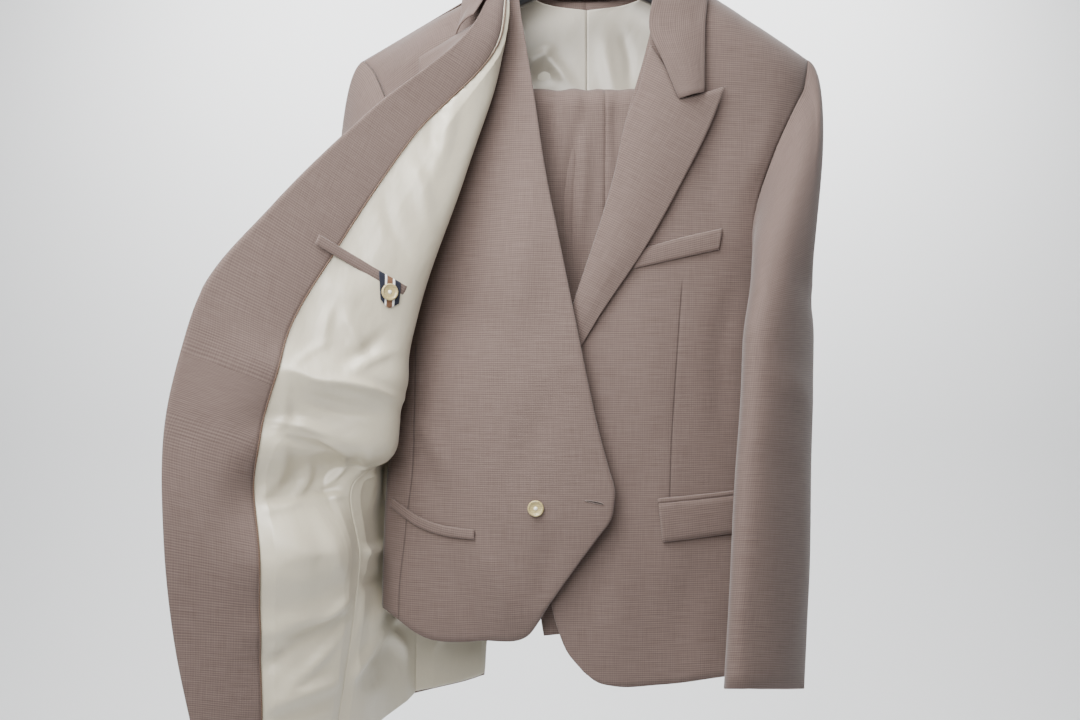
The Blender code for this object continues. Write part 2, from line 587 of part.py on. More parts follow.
# The collar: its fall lies on the shoulders and the back, and its stand rises inside it from the neck seam
Station = namedtuple("Station", "outer roll seam")
COLLAR = (
    Station((10.85, -6.5, -23.6), (8.4, -6.75, -24.3), (8.0, -6.0, -23.2)),
    Station((10.9, -6.3, -20.5), (6.9, -6.75, -20.7), (6.7, -6.0, -20.0)),
    Station((11.0, -6.0, -17.0), (5.6, -6.45, -17.4), (6.1, -5.8, -16.2)),
    Station((11.4, -5.0, -13.8), (6.2, -6.5, -13.6), (6.8, -5.4, -12.6)),
    Station((11.6, -0.8, -11.0), (7.1, -3.4, -8.9), (7.8, -2.0, -9.4)),
    Station((9.8, 4.9, -12.6), (6.6, 2.2, -7.6), (6.9, 2.6, -9.6)),
    Station((5.4, 5.8, -12.7), (3.8, 4.9, -7.4), (3.8, 4.5, -10.4)),
    Station((0.0, 6.0, -12.6), (0.0, 5.6, -7.2), (0.0, 4.95, -10.65)),
    Station((-5.4, 5.8, -12.7), (-3.8, 4.9, -7.4), (-3.8, 4.5, -10.4)),
    Station((-10.0, 5.0, -12.6), (-6.8, 2.2, -7.6), (-7.1, 2.6, -9.6)),
    Station((-12.2, -0.9, -11.3), (-7.8, -3.0, -8.8), (-8.2, -1.9, -9.4)),
    Station((-12.6, -5.0, -14.0), (-8.8, -5.4, -10.6), (-8.6, -4.2, -10.8)),
    Station((-12.8, -6.3, -16.8), (-10.0, -6.3, -13.6), (-9.4, -5.6, -13.6)),
    Station((-13.2, -6.6, -18.3), (-11.4, -7.9, -16.6), (-10.6, -6.6, -16.0)),
)
fall = np.stack([between([getattr(s, name) for s in COLLAR], (1,) * (len(COLLAR) - 1)) for name in ("outer", "roll")])
rise = np.linspace(0.0, 1.0, 4)[:, None, None]
fall = panel(fall[0] * (1 - rise) + fall[1] * rise)
fall = Panel(fall.grid + fall.out * 0.35 * np.sin(np.pi * rise), fall.out)
cloth("collar_fall", fall)
inside = COLLAR[3:-3]
stand = np.stack([[s.seam for s in inside], [s.roll for s in inside]])
rise = np.linspace(0.0, 1.0, 3)[:, None, None]
stand = panel(stand[0] * (1 - rise) + stand[1] * rise)
cloth("collar_stand", moved(inset(stand, top=0.25), -0.25))

# ---------------------------------------------------------------------------------------------------------------
# Jacket sleeves: each a top and an under half, set into the armhole and hanging as a flattened tube
# ---------------------------------------------------------------------------------------------------------------
Ring = namedtuple("Ring", "height x y half_length half_width turn tilt")  # tilt is its rise per cm backwards
LEFT_RINGS = (
    Ring(-48.0, 17.95, -7.1, 7.4, 2.6, 31.0, 0.0),
    Ring(-54.0, 17.65, -7.6, 7.2, 2.6, 32.5, -0.08),
    Ring(-60.0, 17.2, -8.1, 7.0, 2.6, 34.5, -0.16),
    Ring(-70.5, 16.7, -8.7, 6.7, 2.5, 38.0, -0.26),
    Ring(-80.3, 16.15, -9.0, 6.4, 2.4, 41.0, -0.34),
)
RIGHT_RINGS = (
    Ring(-47.0, 24.1, 0.2, 7.0, 2.4, 3.0, 0.0),
    Ring(-54.0, 24.8, 0.6, 6.9, 2.3, 2.0, 0.0),
    Ring(-60.0, 25.3, 0.9, 6.8, 2.2, 2.0, 0.0),
    Ring(-71.0, 25.8, 0.8, 6.5, 2.1, 2.0, 0.0),
    Ring(-81.7, 26.4, 0.4, 6.2, 2.0, 2.0, 0.0),
)
FRONT_SEAM, BACK_SEAM = 0, 13  # the armhole's points where the sleeve's two halves meet
HEAD_ROWS = 5


def sleeve(armhole, rings, lead):
    """A tube from the armhole's loop of points, front to outside to back, down to the cuff. It leaves the armhole
    outwards, forwards at the front and backwards at the back, and turns down into the first ring. The lead is how
    far, in degrees, the underarm's point has come round to the back there, as the sleeve hangs forward. The
    armhole's lower back corner is rounded off."""
    index = np.arange(len(armhole))
    rounding = 0.7 * np.clip(np.minimum(index - BACK_SEAM + 1, BACK_SEAM + 2 - index), 0, 1)[:, None]
    beside = (np.roll(armhole, 1, axis=0) + np.roll(armhole, -1, axis=0)) / 2
    armhole = armhole + rounding * (beside - armhole) + np.array((0.06, 0.0, 0.0))
    closed = np.concatenate([armhole, armhole[:1]])
    run = np.concatenate([[0.0], np.cumsum(np.linalg.norm(np.diff(closed, axis=0), axis=1))])
    top = run[int(np.argmax(armhole[:, 2]))]
    angle = 2 * np.pi * (run[:-1] - top) / run[-1]
    angle = angle * np.where(angle < 0, 1 + lead / 180, 1 - lead / 180)
    ovals = []
    for ring in rings:
        turn = np.radians(ring.turn)
        back = np.array((np.sin(turn), np.cos(turn), 0.0))
        out = np.array((np.cos(turn), -np.sin(turn), 0.0))
        oval = ring.half_width * np.cos(angle)[:, None] * out + ring.half_length * np.sin(angle)[:, None] * back
        oval[:, 2] = ring.tilt * oval[:, 1]
        ovals.append(np.array((ring.x, ring.y, ring.height)) + oval)
    above = (1 + np.cos(angle)) / 2
    outward = 0.85 * above + (0.75 * (1 + np.sin(angle)) / 2 - 0.1) * (1 - above)
    leave = np.stack([outward, 0.16 * armhole[:, 1], -0.4 - 0.2 * (1 - above)], axis=1)
    leave /= np.linalg.norm(leave, axis=1, keepdims=True)
    arrive = ovals[1] - ovals[0]
    arrive /= np.linalg.norm(arrive, axis=1, keepdims=True)
    span = np.linalg.norm(ovals[0] - armhole, axis=1, keepdims=True)
    rows = []
    for a in np.linspace(0.0, 1.0, HEAD_ROWS + 1) ** 1.3:
        rows.append(
            (2 * a**3 - 3 * a**2 + 1) * armhole
            + (a**3 - 2 * a**2 + a) * (0.55 - 0.2 * above)[:, None] * span * leave
            + (3 * a**2 - 2 * a**3) * ovals[0]
            + (a**3 - a**2) * 0.8 * span * arrive
        )
    return panel(np.array(rows + ovals[1:])[::-1], loop=True)


def halves(tube_of):
    """The top half runs round the outside between the two seams, and the under half round the inside."""
    loop = np.arange(tube_of.grid.shape[1])
    top = np.arange(FRONT_SEAM, BACK_SEAM + 1)
    under = np.concatenate([loop[BACK_SEAM:], loop[: FRONT_SEAM + 1]])
    return part_of(tube_of, columns=top), part_of(tube_of, columns=under)


armhole = np.concatenate(
    [left_front.grid[LOWER:, -1], left_back.grid[LOWER:-1, 0][::-1], left_side.grid[-1, 1:-1][::-1]]
)
left_sleeve = sleeve(armhole, LEFT_RINGS, 50.0)
armhole = np.concatenate(
    [right_front.grid[LOWER:, 0], right_back.grid[LOWER:-1, -1][::-1], right_side.grid[-1, 1:-1]]
) * np.array((-1.0, 1.0, 1.0))
right_sleeve = sleeve(armhole, RIGHT_RINGS, 0.0)
for name, made, flip in (("left", left_sleeve, False), ("right", right_sleeve, True)):
    for half, piece in zip(("top_sleeve", "under_sleeve"), halves(made)):
        if flip:
            piece = Panel(mirrored(piece.grid), mirrored(piece.out))
        cloth(f"{name}_{half}", inset(piece, left=0.04, right=0.04))

# ---------------------------------------------------------------------------------------------------------------
# Jacket trim: pockets, buttons
# ---------------------------------------------------------------------------------------------------------------
CLEAR = 0.06  # how far a piece's inner face stands off the cloth it lies on
PROUD = WALL / CM + CLEAR
round_left = Panel(
    np.concatenate([left_front.grid[TO_UNDERARM], left_side.grid[:, 1:4]], axis=1),
    np.concatenate([left_front.out[TO_UNDERARM], left_side.out[:, 1:4]], axis=1),
)
welt = strip_on(left_front, ((4.1, -40.6), (8.5, -39.6), (12.4, -38.7)), ((4.1, -39.0), (8.6, -37.7), (12.7, -36.7)), PROUD + 0.04)
cloth("breast_welt", welt)
FLAP_OUTER = 18.0
for name, low_left, low_right, high_left, high_right, proud in (
    ("left_flap", (6.9, -67.1), (FLAP_OUTER, -66.0), (6.5, -63.42), (FLAP_OUTER, -62.5), 0.12),
    ("left_jet", (6.45, -63.36), (FLAP_OUTER, -62.44), (6.45, -62.92), (FLAP_OUTER, -62.0), 0.06),
):
    low, high = np.linspace(low_left, low_right, 8), np.linspace(high_left, high_right, 8)
    cloth(name, strip_on(round_left, low, high, PROUD + proud))

# The same pocket on the open front's outside, and the two buttons that close the jacket
outside = Panel(
    np.concatenate([right_side.grid[:, -3:-1], right_front.grid[TO_UNDERARM]], axis=1),
    np.concatenate([right_side.out[:, -3:-1], right_front.out[TO_UNDERARM]], axis=1),
)


def by_index(on, row_places, column_places, proud):
    """A piece that lies on a panel between rows and columns given as fractional places on its grid."""
    out = moved(on, proud).grid
    return panel(np.array([[at(out, row, column) for column in column_places] for row in row_places]))


cloth("right_flap", by_index(outside, (2.75, 3.0, 3.62), (0.5, 1.0, 2.0, 3.0, 4.0, 5.0, 6.0, 6.5), PROUD + 0.12))
cloth("right_jet", by_index(outside, (3.64, 3.80), (0.5, 1.0, 2.0, 3.0, 4.0, 5.0, 6.0, 6.5), PROUD + 0.06))
for name, row in (("jacket_button_top", 5.6), ("jacket_button_low", 3.4)):
    out = at(right_front.out, row, PIPING_COLUMN + 2.2)
    button(name, at(right_front.grid, row, PIPING_COLUMN + 2.2) + out * 0.05, out, 1.0, 0.38)

# Inside pocket in the open front's facing and lining: a welt, and a ribbon tab that holds a button over its end
inside = turned(moved(part_of(right_front, columns=slice(sum(COLUMN_STEPS[:2]), None)), -DEEPER - 0.26))
welt = strip_on(
    inside,
    ((-24.9, -39.2), (-22.6, -40.6), (-20.2, -42.0), (-17.7, -43.5)),
    ((-24.6, -38.4), (-22.3, -39.8), (-19.9, -41.2), (-17.3, -42.7)),
    0.12,
)
cloth("inside_pocket_welt", welt)
tab = strip_on(
    inside,
    ((-19.6, -44.0), (-18.9, -44.7), (-18.1, -44.3)),
    ((-19.7, -41.4), (-18.8, -41.9), (-17.9, -42.4)),
    0.32,
)
cloth("inside_pocket_tab", tab, "ribbon", LINING_WALL)
spot, out = seat(inside, -18.9, -43.3, 0.42)
button("inside_pocket_button", spot, out, 0.78, 0.3)

# ---------------------------------------------------------------------------------------------------------------
# Waistcoat: two fronts and a satin back in two halves, its right front drawn over the jacket's left
# ---------------------------------------------------------------------------------------------------------------
VEST_DROP = 0.6
VEST_LOWER, VEST_UPPER, VEST_OVER = 7, 4, 3
VEST_TIP = (16.4, NECK_Z - VEST_DROP - SHOULDER_FALL * (16.4 - NECK_X))
VEST_NECK = (8.0, NECK_Z - VEST_DROP - SHOULDER_FALL * (8.0 - NECK_X))

# Right front: every point of its edges is (x, y, z), as it hangs freely
free_edge = joined(
    curve(
        (
            (-4.9, -6.6, -74.5),
            (-3.6, -7.1, -72.3),
            (-1.7, -7.4, -69.5),
            (0.8, -7.6, -66.1),
            (1.7, -7.65, -64.9),
            (2.05, -7.7, -63.2),
            (2.1, -7.7, -61.9),
            (1.6, -7.7, -60.1),
            (0.4, -7.7, -55.6),
            (-0.3, -7.7, -52.4),
            (-1.5, -7.6, -46.5),
        ),
        VEST_LOWER + 1,
    ),
    curve(((-1.5, -7.6, -46.5), (-3.2, -6.9, -37.9), (-4.4, -6.0, -31.8), (-5.7, -5.0, -23.0), (-7.0, -3.7, -14.8)), VEST_UPPER + 1),
    curve(((-7.0, -3.7, -14.8), (-7.3, -2.9, -12.6), (-7.8, -1.4, -11.0), (-VEST_NECK[0], 0.0, VEST_NECK[1])), VEST_OVER + 1),
)
side_edge = joined(
    curve(
        ((-20.7, -3.7, -74.0), (-20.5, -3.8, -67.2), (-20.2, -3.8, -61.3), (-18.6, -3.4, -50.0), (-17.8, -2.6, -43.5)),
        VEST_LOWER + 1,
    ),
    curve(((-17.8, -2.6, -43.5), (-15.4, -3.8, -38.0), (-14.2, -4.0, -31.5), (-14.3, -3.4, -24.5), (-15.3, -2.6, -19.2)), VEST_UPPER + 1),
    closing_in((-15.3, -2.6, -19.2), (-VEST_TIP[0], 0.0, VEST_TIP[1]), VEST_OVER + 1),
)
foot = curve(
    ((-20.7, -3.7, -74.0), (-19.1, -5.0, -74.7), (-16.4, -5.6, -76.3), (-10.4, -6.1, -76.6), (-6.2, -6.4, -76.1), (-4.9, -6.6, -74.5)), 8
)
top = np.linspace(side_edge[-1], free_edge[-1], 8)
grid = patch(foot, top, side_edge, free_edge)
across = np.linspace(0.0, 1.0, grid.shape[1])[None, :]
up = np.linspace(0.0, 1.0, grid.shape[0])[:, None]
grid[..., 1] -= 1.1 * np.sin(np.pi * across) ** 0.8 * np.clip((0.8 - up) / 0.35, 0.0, 1.0) * np.minimum(1.0, 0.35 + 3 * up)
vest_right = panel(grid)

front_v = joined(
    curve(((-4.6, -76.6), (-4.9, -74.5), (-4.4, -68.0), (-3.2, -60.0), (-1.6, -52.0), (0.1, -45.0)), VEST_LOWER + 1),
    curve(((0.1, -45.0), (2.0, -38.0), (3.8, -32.0), (5.4, -25.0), (7.0, -18.0), (7.6, -15.0)), VEST_UPPER + 1),
    curve(((7.6, -15.0), (7.8, -12.8), (7.9, -11.4), VEST_NECK), VEST_OVER + 1),
)
vest_side = joined(
    curve(((17.9, -74.5), (17.8, -60.0), (17.6, -50.0), (17.4, -43.5)), VEST_LOWER + 1),
    curve(((17.4, -43.5), (15.4, -38.0), (14.2, -31.5), (14.3, -24.5), (15.3, -19.2)), VEST_UPPER + 1),
    closing_in((15.3, -19.2), VEST_TIP, VEST_OVER + 1),
)
grid = patch(
    curve(((-4.6, -76.6), (-2.8, -76.4), (6.0, -75.4), (17.9, -74.5)), 7),
    np.linspace(VEST_NECK, VEST_TIP, 7),
    front_v,
    vest_side,
)
vest_left = panel(on_body(grid, WAISTCOAT_SECTIONS, -1, drop=VEST_DROP))


def rounded_back(flat, seam, deep, drop):
    """A back panel: its (x, z) points sit at depth deep in the middle and curve round to the side seam's own depth."""
    x, z = flat[..., 0], flat[..., 1]
    across = np.clip(np.abs(x) / np.maximum(np.abs(seam[:, :1]), 1e-6), 0.0, 1.0)
    below = NECK_Z - drop - SHOULDER_FALL * (np.abs(x) - NECK_X) - z
    arch = np.sqrt(1 - (1 - np.clip(below / SHOULDER_ARCH, 0.0, 1.0)) ** 2)
    y = seam[:, 1:2] + (deep * arch - seam[:, 1:2]) * np.sqrt(1 - across**SIDE_POWER)
    return np.stack([x, y, z], axis=-1)


VEST_DEEP = 4.1
vest_centre = joined(
    curve(((0.0, -75.0), (0.0, -60.0), (0.0, -43.5)), VEST_LOWER + 1),
    curve(((0.0, -43.5), (0.0, -30.0), (0.0, -18.0)), VEST_UPPER + 1),
    curve(((0.0, -18.0), (0.0, -14.5), (0.0, -12.0)), VEST_OVER + 1),
)
vest_armhole = curve(((17.8, -43.5), (16.8, -38.5), (15.2, -31.5), (15.2, -24.5), (15.6, -19.2)), VEST_UPPER + 1)
deep_armhole = np.linspace(1.0, 2.6, VEST_UPPER + 1)
for side, front_side in (("left", vest_left.grid[:, -1]), ("right", vest_right.grid[:, 0] * np.array((-1.0, 1.0, 1.0)))):
    seam = front_side.copy()
    seam[VEST_LOWER : VEST_LOWER + VEST_UPPER + 1, [0, 2]] = vest_armhole
    seam[VEST_LOWER, [0, 2]] = front_side[VEST_LOWER, [0, 2]]
    seam[VEST_LOWER + 1 : VEST_LOWER + VEST_UPPER + 1, 1] = deep_armhole[1:]
    seam[-VEST_OVER - 1 : -1, 1] = (2.6, 1.9, 1.0)
    foot = curve(((seam[0, 0], seam[0, 2]), (10.0, -75.2), (0.0, -75.0)), 6)
    top = joined(
        np.linspace((seam[-1, 0], seam[-1, 2]), VEST_NECK, 4), curve((VEST_NECK, (4.5, -11.4), (0.0, -12.0)), 3)
    )
    grid = rounded_back(patch(foot, top, seam[:, [0, 2]], vest_centre), seam, VEST_DEEP, VEST_DROP)
    if side == "left":
        vest_back_left = panel(grid)
    else:
        vest_back_right = panel(mirrored(grid))
to_underarm = slice(0, VEST_LOWER + 1)
share(vest_left, (to_underarm, -1), vest_back_left, (to_underarm, 0))
share(vest_back_right, (to_underarm, -1), vest_right, (to_underarm, 0))
for piece, columns in ((vest_left, slice(None)), (vest_back_left, slice(0, 4))):
    piece.out[-1, columns] = RIDGE
for piece, columns in ((vest_right, slice(None)), (vest_back_right, slice(-4, None))):
    piece.out[-1, columns] = ridge
cloth("waistcoat_right_front", inset(vest_right, left=0.02, top=0.03))
cloth("waistcoat_left_front", inset(vest_left, right=0.02, top=0.03))
cloth("waistcoat_back_left", inset(vest_back_left, left=0.02, right=0.02, top=0.03), "satin", LINING_WALL)
cloth("waistcoat_back_right", inset(vest_back_right, left=0.02, right=0.02, top=0.03), "satin", LINING_WALL)
welt = strip_on(
    vest_right,
    ((-19.6, -63.9), (-18.3, -64.7), (-16.7, -65.6), (-14.9, -66.2), (-13.1, -66.5), (-11.3, -66.6)),
    ((-19.4, -63.1), (-18.2, -63.8), (-16.6, -64.7), (-14.9, -65.3), (-13.1, -65.6), (-11.3, -65.7)),
    PROUD + 0.12,
)
cloth("waistcoat_welt", welt)
spot, out = seat(vest_right, -5.4, -63.6, 0.04)
button("waistcoat_button", spot, out, 0.78, 0.32)

# ---------------------------------------------------------------------------------------------------------------
# Trousers: folded along their creases and laid over the bar, the left leg over the right. Each leg is a flattened
# tube of a front and a back panel. Its side seam runs down the middle of the layer that faces away from the other
# leg, and its inseam down the layer between the legs. Above the crotch only the outer layers go on to the waist.
# ---------------------------------------------------------------------------------------------------------------
# Down the length, from the hem in front over the bar to the waist behind: how far down the row lies, in front (-1)
# or behind (+1), or its angle over the bar; the middle and half width across; and how open the inner layers are
Along = namedtuple("Along", "side down middle half inner")
TROUSER_ROWS = (
    Along(-1, 49.5, 1.2, 9.4, 1.0),
    Along(-1, 38.0, 1.3, 9.8, 1.0),
    Along(-1, 25.0, 1.4, 10.3, 1.0),
    Along(-1, 13.0, 1.5, 10.8, 1.0),
    Along(-1, 4.0, 1.6, 11.1, 1.0),
    Along(0, 0.0, 1.6, 11.2, 1.0),
    Along(0, 45.0, 1.6, 11.3, 1.0),
    Along(0, 90.0, 1.6, 11.3, 1.0),
    Along(0, 135.0, 1.6, 11.4, 1.0),
    Along(0, 180.0, 1.5, 11.5, 1.0),
    Along(1, 5.0, 1.2, 11.9, 1.0),
    Along(1, 14.0, 0.6, 12.6, 1.0),
    Along(1, 20.5, 0.2, 13.2, 1.0),
    Along(1, 24.0, 0.0, 13.4, 0.62),
    Along(1, 28.0, 0.0, 13.6, 0.25),
    Along(1, 32.0, 0.0, 13.8, 0.0),
    Along(1, 39.0, 0.0, 13.9, 0.0),
    Along(1, 45.0, 0.0, 13.9, 0.0),
)
LEG_GAP = 0.42  # half the distance between the two legs' middles
LEG_OPEN = 0.30  # half a leg's thickness
BETWEEN_LEGS = BAR_RADIUS + 0.95
BAND_WIDTH = 3.8


def over_bar(row, x, off):
    """A point of a row at distance off from the line the trousers hang on."""
    if row.side:
        return (x, row.side * off, BAR_HEIGHT - row.down)
    a = np.radians(row.down)
    return (x, -off * np.cos(a), BAR_HEIGHT + off * np.sin(a))


def leg_panel(outer, front, steps=2):
    """Half a leg: its section runs from the side seam along one layer, round the crease, and back along the other
    layer towards the inseam, as far as the row's inner layer goes."""
    away = 1.0 if outer else -1.0  # the side seam's layer faces away from the other leg
    edge = -1.0 if front else 1.0  # the front crease hangs at -X, the back one at +X
    rows = []
    for row in TROUSER_ROWS:
        above = 1.0 if row.inner == 0 else 0.0
        middle = BETWEEN_LEGS + away * (LEG_GAP + (0.14 - LEG_GAP) * above)
        thick = LEG_OPEN + 0.16 * above
        knots = (-1.0, -0.5, 0.0, 0.5, 1.0)  # inseam, then the crease's two corners with its edge between, side seam
        t = np.linspace(-row.inner, 1.0, 2 * steps + 1)
        x = row.middle + edge * np.interp(t, knots, (0.0, row.half - 1.3 * thick, row.half, row.half - 1.3 * thick, 0.0))
        off = middle + away * np.interp(t, knots, (-thick, -thick, 0.0, thick, thick))
        rows.append([over_bar(row, *spot) for spot in zip(x, off)])
    made = np.array(rows)
    return panel(made if (edge < 0) == outer else made[:, ::-1])


for name, outer in (("left", True), ("right", False)):
    fore, aft = leg_panel(outer, True), leg_panel(outer, False)
    side, other = (-1, 0) if outer else (0, -1)
    share(fore, (slice(None), side), aft, (slice(None), other))
    cloth(f"trousers_{name}_front", inset(fore, left=0.02, right=0.02))
    cloth(f"trousers_{name}_back", inset(aft, left=0.02, right=0.02))

last = TROUSER_ROWS[-1]
band = []
for down in (last.down + 0.06, last.down + BAND_WIDTH / 2, last.down + BAND_WIDTH):
    row = last._replace(down=down)
    band.append(
        [
            over_bar(row, row.middle - (row.half + 0.05) * np.cos(a), BETWEEN_LEGS + 0.66 * np.sin(a))
            for a in np.linspace(0.0, 2 * np.pi, 16, endpoint=False)
        ]
    )
cloth("trousers_waistband", panel(np.array(band), loop=True), loop=True)
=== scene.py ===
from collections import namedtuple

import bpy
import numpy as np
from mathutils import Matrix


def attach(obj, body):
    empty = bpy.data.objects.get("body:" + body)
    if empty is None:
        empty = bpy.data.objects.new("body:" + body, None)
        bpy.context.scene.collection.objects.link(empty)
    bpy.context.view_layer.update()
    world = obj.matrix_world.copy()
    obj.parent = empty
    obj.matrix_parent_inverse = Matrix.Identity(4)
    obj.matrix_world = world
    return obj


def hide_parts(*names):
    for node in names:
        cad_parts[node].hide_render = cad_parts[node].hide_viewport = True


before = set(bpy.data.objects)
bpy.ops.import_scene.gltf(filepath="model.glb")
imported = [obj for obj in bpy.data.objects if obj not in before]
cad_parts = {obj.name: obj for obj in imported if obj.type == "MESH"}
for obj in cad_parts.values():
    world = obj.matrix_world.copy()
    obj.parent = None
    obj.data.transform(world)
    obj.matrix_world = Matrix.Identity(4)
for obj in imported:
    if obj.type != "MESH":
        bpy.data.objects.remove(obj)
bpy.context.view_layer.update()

# A three-piece suit on its hanger, in the frame that its solids share: +Z up, -Y to the suit's front, +X to
# the wearer's left, and the origin where the hook rests on its rail. Places and lengths on the suit are in
# centimetres. Meshes, walls, the materials' own lengths and the studio are in metres.

# --------------------------------------------------------------------------------------------------
# Suit cloth: a light worsted woven from pale and dark mauve yarns, two picks of each in turn both ways, which
# makes a very fine check that reads as rows. Seams are pressed open and show as a fine line.
# --------------------------------------------------------------------------------------------------
YARN_REPEAT = 0.0021  # metres from one dark row to the next
SUITING_LIGHT = (0.202, 0.149, 0.130, 1.0)
SUITING_DARK = (0.074, 0.048, 0.041, 1.0)
PICKS_SHOW, ENDS_SHOW = 0.17, 0.06  # how far the yarns across, and those up the cloth, shift its colour
SEAM_LINE, SEAM_PRESS = 0.0011, 0.006  # how far a seam's line, and its pressing, reach to either side


def node(tree, kind, inputs=None, **settings):
    """Adds a node. inputs maps a socket's name or number to a value, or to the output it is linked from."""
    made = tree.nodes.new(kind)
    for key, value in settings.items():
        setattr(made, key, value)
    for key, value in (inputs or {}).items():
        if isinstance(value, bpy.types.NodeSocket):
            tree.links.new(value, made.inputs[key])
        else:
            made.inputs[key].default_value = value
    return made


def reckon(tree, operation, *values):
    """The output of one math node."""
    return node(tree, "ShaderNodeMath", dict(enumerate(values)), operation=operation).outputs[0]


def blend(tree, share, first, second):
    """The output of one colour mix."""
    made = node(tree, "ShaderNodeMix", {0: share, 6: first, 7: second}, data_type="RGBA")
    return made.outputs[2]


def group(name, inputs):
    """An empty node group that puts out a colour and a height, and the sockets that bring its inputs in."""
    tree = bpy.data.node_groups.new(name, "ShaderNodeTree")
    for label, kind in inputs.items():
        tree.interface.new_socket(label, in_out="INPUT", socket_type="NodeSocket" + kind)
    for label, kind in (("Color", "Color"), ("Height", "Float")):
        tree.interface.new_socket(label, in_out="OUTPUT", socket_type="NodeSocket" + kind)
    return tree, tree.nodes.new("NodeGroupInput").outputs


def streaks(tree, threads, across, along, detail=2.0):
    """Noise stretched along one set of threads: across and along are its scales, per metre."""
    grown = node(tree, "ShaderNodeVectorMath", {0: threads, 1: (across, along, 1.0)}, operation="MULTIPLY")
    noise = node(tree, "ShaderNodeTexNoise", {"Vector": grown.outputs[0], "Scale": 1.0, "Detail": detail})
    return noise.outputs[0]


# The weave: threads is the place on the cloth in metres, across and up
weave, given = group("weave", {"Threads": "Vector", "Light": "Color", "Dark": "Color", "Repeat": "Float"})
split = node(weave, "ShaderNodeSeparateXYZ", {0: given["Threads"]})
wander = reckon(weave, "MULTIPLY", streaks(weave, given["Threads"], 25.0, 60.0), 0.0009)
turns = reckon(weave, "DIVIDE", 2 * np.pi, given["Repeat"])
picks, ends = [
    reckon(weave, "SINE", reckon(weave, "MULTIPLY", reckon(weave, "ADD", way, wander), turns))
    for way in (split.outputs[1], split.outputs[0])
]
yarns = reckon(weave, "MULTIPLY_ADD", picks, PICKS_SHOW, reckon(weave, "MULTIPLY_ADD", ends, ENDS_SHOW, 0.5))
slubs_up = reckon(weave, "MULTIPLY", streaks(weave, given["Threads"], 900.0, 40.0), 0.6)
slubs = reckon(weave, "ADD", streaks(weave, given["Threads"], 40.0, 900.0), slubs_up)
shade = reckon(weave, "MULTIPLY_ADD", reckon(weave, "SUBTRACT", slubs, 0.8), 0.55, yarns)
node(weave, "NodeGroupOutput", {"Color": blend(weave, shade, given["Dark"], given["Light"]), "Height": yarns})

# A seam: line is the distance from it in metres, either sign, and on is 1 where there is one
seam, given = group("seam", {"Line": "Float", "On": "Float", "Color": "Color", "Height": "Float"})
gap = reckon(seam, "ABSOLUTE", given["Line"])
near, wide = [
    node(seam, "ShaderNodeMapRange", {0: gap, 1: 0.0, 2: reach, 3: 1.0, 4: 0.0}).outputs[0]
    for reach in (SEAM_LINE, SEAM_PRESS)
]
line = reckon(seam, "MULTIPLY", near, given["On"])
press = reckon(seam, "MULTIPLY", reckon(seam, "POWER", wide, 2.0), given["On"])
sunk = reckon(seam, "MULTIPLY_ADD", line, -3.0, reckon(seam, "MULTIPLY_ADD", press, -3.0, given["Height"]))
darker = node(seam, "ShaderNodeHueSaturation", {"Value": 0.5, "Color": given["Color"]}).outputs[0]
node(seam, "NodeGroupOutput", {"Color": blend(seam, line, given["Color"], darker), "Height": sunk})


def material(name, roughness, metallic=0.0, **uniform):
    """A Principled material, its uniform values set on the shader's own sockets."""
    made = bpy.data.materials.new(name)
    made.use_nodes = True
    shader = made.node_tree.nodes["Principled BSDF"]
    shader.inputs["Roughness"].default_value = roughness
    shader.inputs["Metallic"].default_value = metallic
    for label, value in uniform.items():
        shader.inputs[label.replace("_", " ")].default_value = value
    return made, made.node_tree, shader


def attribute(tree, name, output):
    """One output of the node that reads an attribute of the mesh."""
    return node(tree, "ShaderNodeAttribute", attribute_name=name).outputs[output]


def bumped(tree, height, strength, distance, **below):
    """The normal of a surface raised by height times distance metres, over another Normal if one is given."""
    inputs = dict(Height=height, Strength=strength, Distance=distance, **below)
    return node(tree, "ShaderNodeBump", inputs).outputs[0]


def sewn(tree, shader, kind, keeps_height, **values):
    """A cloth's group and the seams on it, whose colour the shader takes. Returns the cloth's height and the
    seams', which starts from the cloth's own where keeps_height is true, and from 0 if not."""
    values["Threads"] = attribute(tree, "threads", "Vector")
    plain = node(tree, "ShaderNodeGroup", values, node_tree=kind).outputs
    line, on = attribute(tree, "seam", "Fac"), attribute(tree, "sewn", "Fac")
    seams = {"Color": plain["Color"], "Line": line, "On": on}
    if keeps_height:
        seams["Height"] = plain["Height"]
    with_seams = node(tree, "ShaderNodeGroup", seams, node_tree=seam).outputs
    tree.links.new(with_seams["Color"], shader.inputs["Base Color"])
    return plain["Height"], with_seams["Height"]


def woven(name, light, dark, repeat):
    """The suit cloth in two yarn colours, with its seams."""
    made, tree, shader = material(
        name, 0.86, Sheen_Weight=0.16, Sheen_Roughness=0.45, Specular_IOR_Level=0.25,
    )
    height = sewn(tree, shader, weave, True, Light=light, Dark=dark, Repeat=repeat)[1]
    tree.links.new(bumped(tree, height, 0.35, 0.0004), shader.inputs["Normal"])
    return made


Stuff = namedtuple("Stuff", "finish slot")
SUITING = Stuff(woven("suiting", SUITING_LIGHT, SUITING_DARK, YARN_REPEAT), "suiting")

# --------------------------------------------------------------------------------------------------
# Lining satin: viscose, cream in the jacket and warm grey on the waistcoat's back. It is thin and slippery,
# so it shows small soft wrinkles of its own beside the creases that are modelled.
# --------------------------------------------------------------------------------------------------
CREAM = (0.55, 0.50, 0.385)
GREY = (0.47, 0.43, 0.355)
PAINTED_SHADE = (0.84, 0.82, 0.78)  # painted shade on the ribs and the soft wrinkles: the colour's darker copy, as shares of the colour
CREAM_WRINKLES, GREY_WRINKLES = 0.006, 0.004  # their depth
